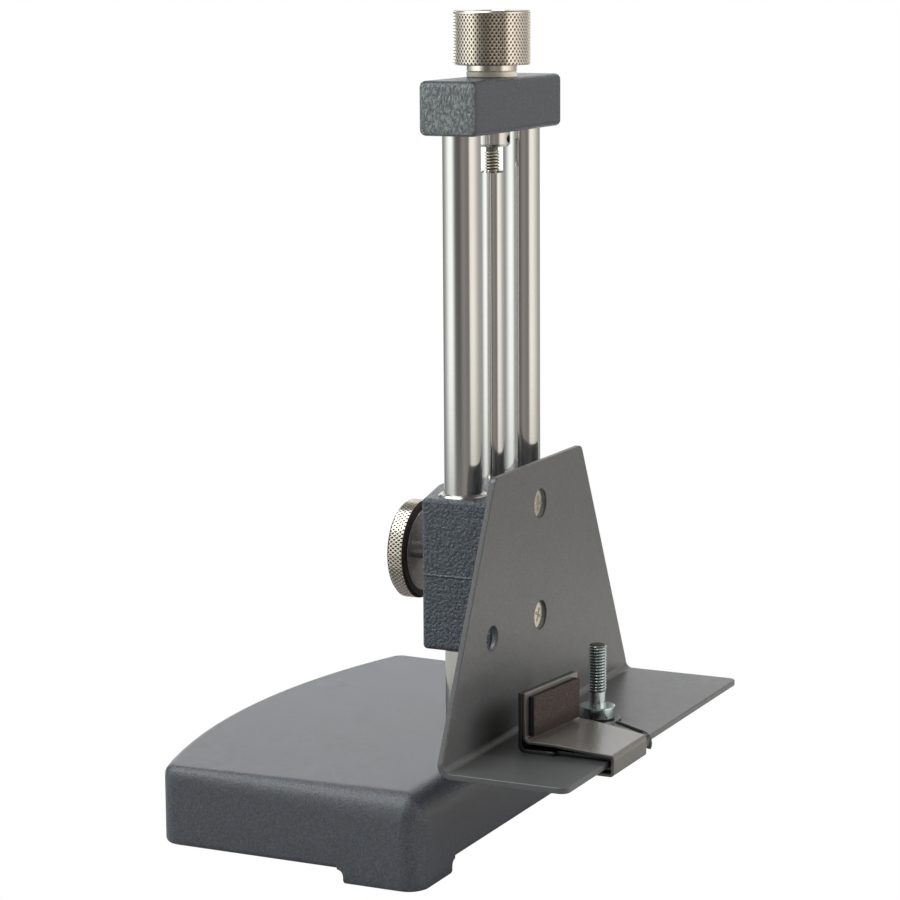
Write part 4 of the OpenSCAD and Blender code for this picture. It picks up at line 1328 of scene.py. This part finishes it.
# A round ear carries the stud
ear_from, ear_sweep, ear_steps = -75, 170, 12
for i in range(ear_steps + 1):
    turn = radians(ear_from + ear_sweep * i / ear_steps)
    plan.append((stud_x + ear_radius * cos(turn),
                 flat_s(stud_y + ear_radius * sin(turn)), 0))
plan += [(bend_end.x, flat_s(bend_end.y), 0), (clip_left, flat_s(bend_start.y), 0),
         (clip_left, flat_s(step_y), 0.8), (clip_left + edge_gap, flat_s(step_y - 0.4), 0.6)]
carrier_creases = [start + bend_run * i / 6 for i in range(7) for start in (hook_run, lip_run)]
carrier = solid("clip_carrier_bent", sheet(
    rounded(plan, 4), [(stud_x, flat_s(stud_y), [(3.01, 0), (3.01, carrier_thick)])],
    carrier_creases, carrier_thick, 0.3, carrier_fold))
inner_bend = tab_bend - carrier_thick
tab_path = folded((0, tab_top), -90, [
    (tab_top - carrier_top - inner_bend - beside_bend,), (beside_bend,), (-90, inner_bend)])
tab_start_y = tab_back - carrier_thick
tab_left = [(clip_left, tab_start_y + d, z) for d, z in tab_path]
tab_right = [(tab_end_x, tab_start_y + tab_width * tab_way.y + d, z) for d, z in tab_path]
carrier_tab = bent_strip("clip_tab", tab_left, tab_right, carrier_thick)


def bead(name, path, radius):
    """A rolled edge: a round bar through the path's points, thin at its ends and swelling a
    little before the last one."""
    sides = 14
    rings = []
    for i, point in enumerate(path):
        before, after = path[max(i - 1, 0)], path[min(i + 1, len(path) - 1)]
        ahead = (Vector(after) - Vector(before)).normalized()
        aside = ahead.cross(Vector((0.3, -0.2, 1))).normalized()
        above = ahead.cross(aside)
        at_end = i in (0, len(path) - 1)
        swell = radius * (0.35 if at_end else 1.2 if i > len(path) - 5 else 1.0)
        turns = [tau * k / sides for k in range(sides)]
        rings.append([tuple(Vector(point) + (aside * cos(turn) + above * sin(turn)) * swell)
                      for turn in turns])
    return solid(name, loft(rings))


# Its right edge is rolled from the stud to the lip, and ends in a blob of paint under it
rolled_edge = [(-1.0, -45.0, 38.5), (-1.4, -45.6, 38.6), (-5, -51.2, 38.6), (-9.0, -57.4, 38.6),
               (-9.7, -58.9, 38.4), (-10, -59.9, 37.7), (-10, -60.3, 36.7), (-10, -60.3, 35.6),
               (-10, -60.2, 34.8), (-10, -60.0, 34.2), (-10, -59.8, 33.9)]
carrier_bead = bead("clip_bead", rolled_edge, 0.95)
carrier = merge("clip_carrier_bent", [carrier, carrier_tab, carrier_bead])
carrier_black = cast_paint("carrier_black", (0.010, 0.010, 0.011), grain=0.6, depth=0.02,
                           roughness=0.26)
dress(carrier, carrier_black.material, "clip", "carrier_black", "clip_carrier")

# The pad, on the leaf's tab: a brown face, with its sides painted black as painted shade, and
# darker towards its foot
pad_thick = 2.1
pad_length = 29.6
pad_low = 42.65
pad_top = 55.8
pad_edge = 0.3
pad_start = Vector((clip_left, tab_face - 0.01)) + tab_way * 2.2
pad_ahead = Vector((-sin(tab_turn), -cos(tab_turn)))
pad_front = pad_start + pad_ahead * pad_thick
pad_plan = [pad_start, pad_front, pad_front + tab_way * pad_length,
            pad_start + tab_way * pad_length]
pad_outline = rounded([(point.x, point.y, 0.35) for point in pad_plan], 3)
pad = solid("clip_pad_cut", slab(pad_outline, pad_low, pad_top, pad_edge, pad_edge, 3))
pad_brown = Finish("pad_brown")
grains = pad_brown.noise(0.6, 4, 0.7)
ahead_of_tab = pad_brown.along("X") * pad_ahead.x + pad_brown.along("Y") * pad_ahead.y
front_at = pad_start.dot(pad_ahead)
face_share = pad_brown.step(ahead_of_tab, front_at + 1.75, front_at + 1.95)
brown = pad_brown.mix(pad_brown.step(grains, 0.35, 0.7), (0.030, 0.021, 0.018),
                      (0.085, 0.064, 0.056))
# The pad is painted darker towards its foot
darker_foot = 1 - pad_brown.step(pad_brown.along("Z"), 43.5, 48.5)
brown = pad_brown.mix(darker_foot * 0.75, brown, (0.016, 0.011, 0.009))
# Behind its front face the pad is painted black, as painted shade on its sides
pad_brown.set({"Base Color": pad_brown.mix(face_share, (0.008, 0.008, 0.008), brown),
               "Roughness": 0.75, "Normal": pad_brown.bump(grains, 0.12)})
dress(pad, pad_brown.material, "clip", "brown_pad", "clip_pad")

# The stud: an M6 thread over a plain shank and a round collar
zinc = thread_steel("zinc", (0.74, 0.84, 0.84), valley=2.45, crest=2.78, roughness=0.16,
                    x=stud_x, y=stud_y)
stud_collar = lathe([(0, 37.55), (3, 37.55), (3, 38.91), (5.5, 38.91), (6, 39.41), (6, 42.7),
                     (5.9, 42.95), (5.6, 43.11), (2.8, 43.11), (2.8, 47.91), (0, 47.91)])
stud = threaded("clip_stud_threaded", zinc.material, radius=3.0, low=47.6, high=63.91, tip=0.7,
                shapes=[stud_collar], x=stud_x, y=stud_y)
dress(stud, zinc.material, "clip", "zinc", "clip_stud", sharp=25)


# What stays of the CAD model is small or hidden: cap and grub screws of black steel, the brass
# bush in the bar and the plug that the clamp screw presses.
black_steel = ground_steel("black_steel", (0.045, 0.045, 0.05), 0.35)
brass = ground_steel("brass", (0.75, 0.58, 0.28), 0.25)
for node, finish, slot in (("column_screws", black_steel, "black_steel"),
                           ("bar_grub_screws", black_steel, "black_steel"),
                           ("collar_grub_screw", black_steel, "black_steel"),
                           ("bar_bush", brass, "brass"), ("pressure_pad", brass, "brass")):
    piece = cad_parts[node]
    for holder in piece.material_slots:
        holder.material = finish.material
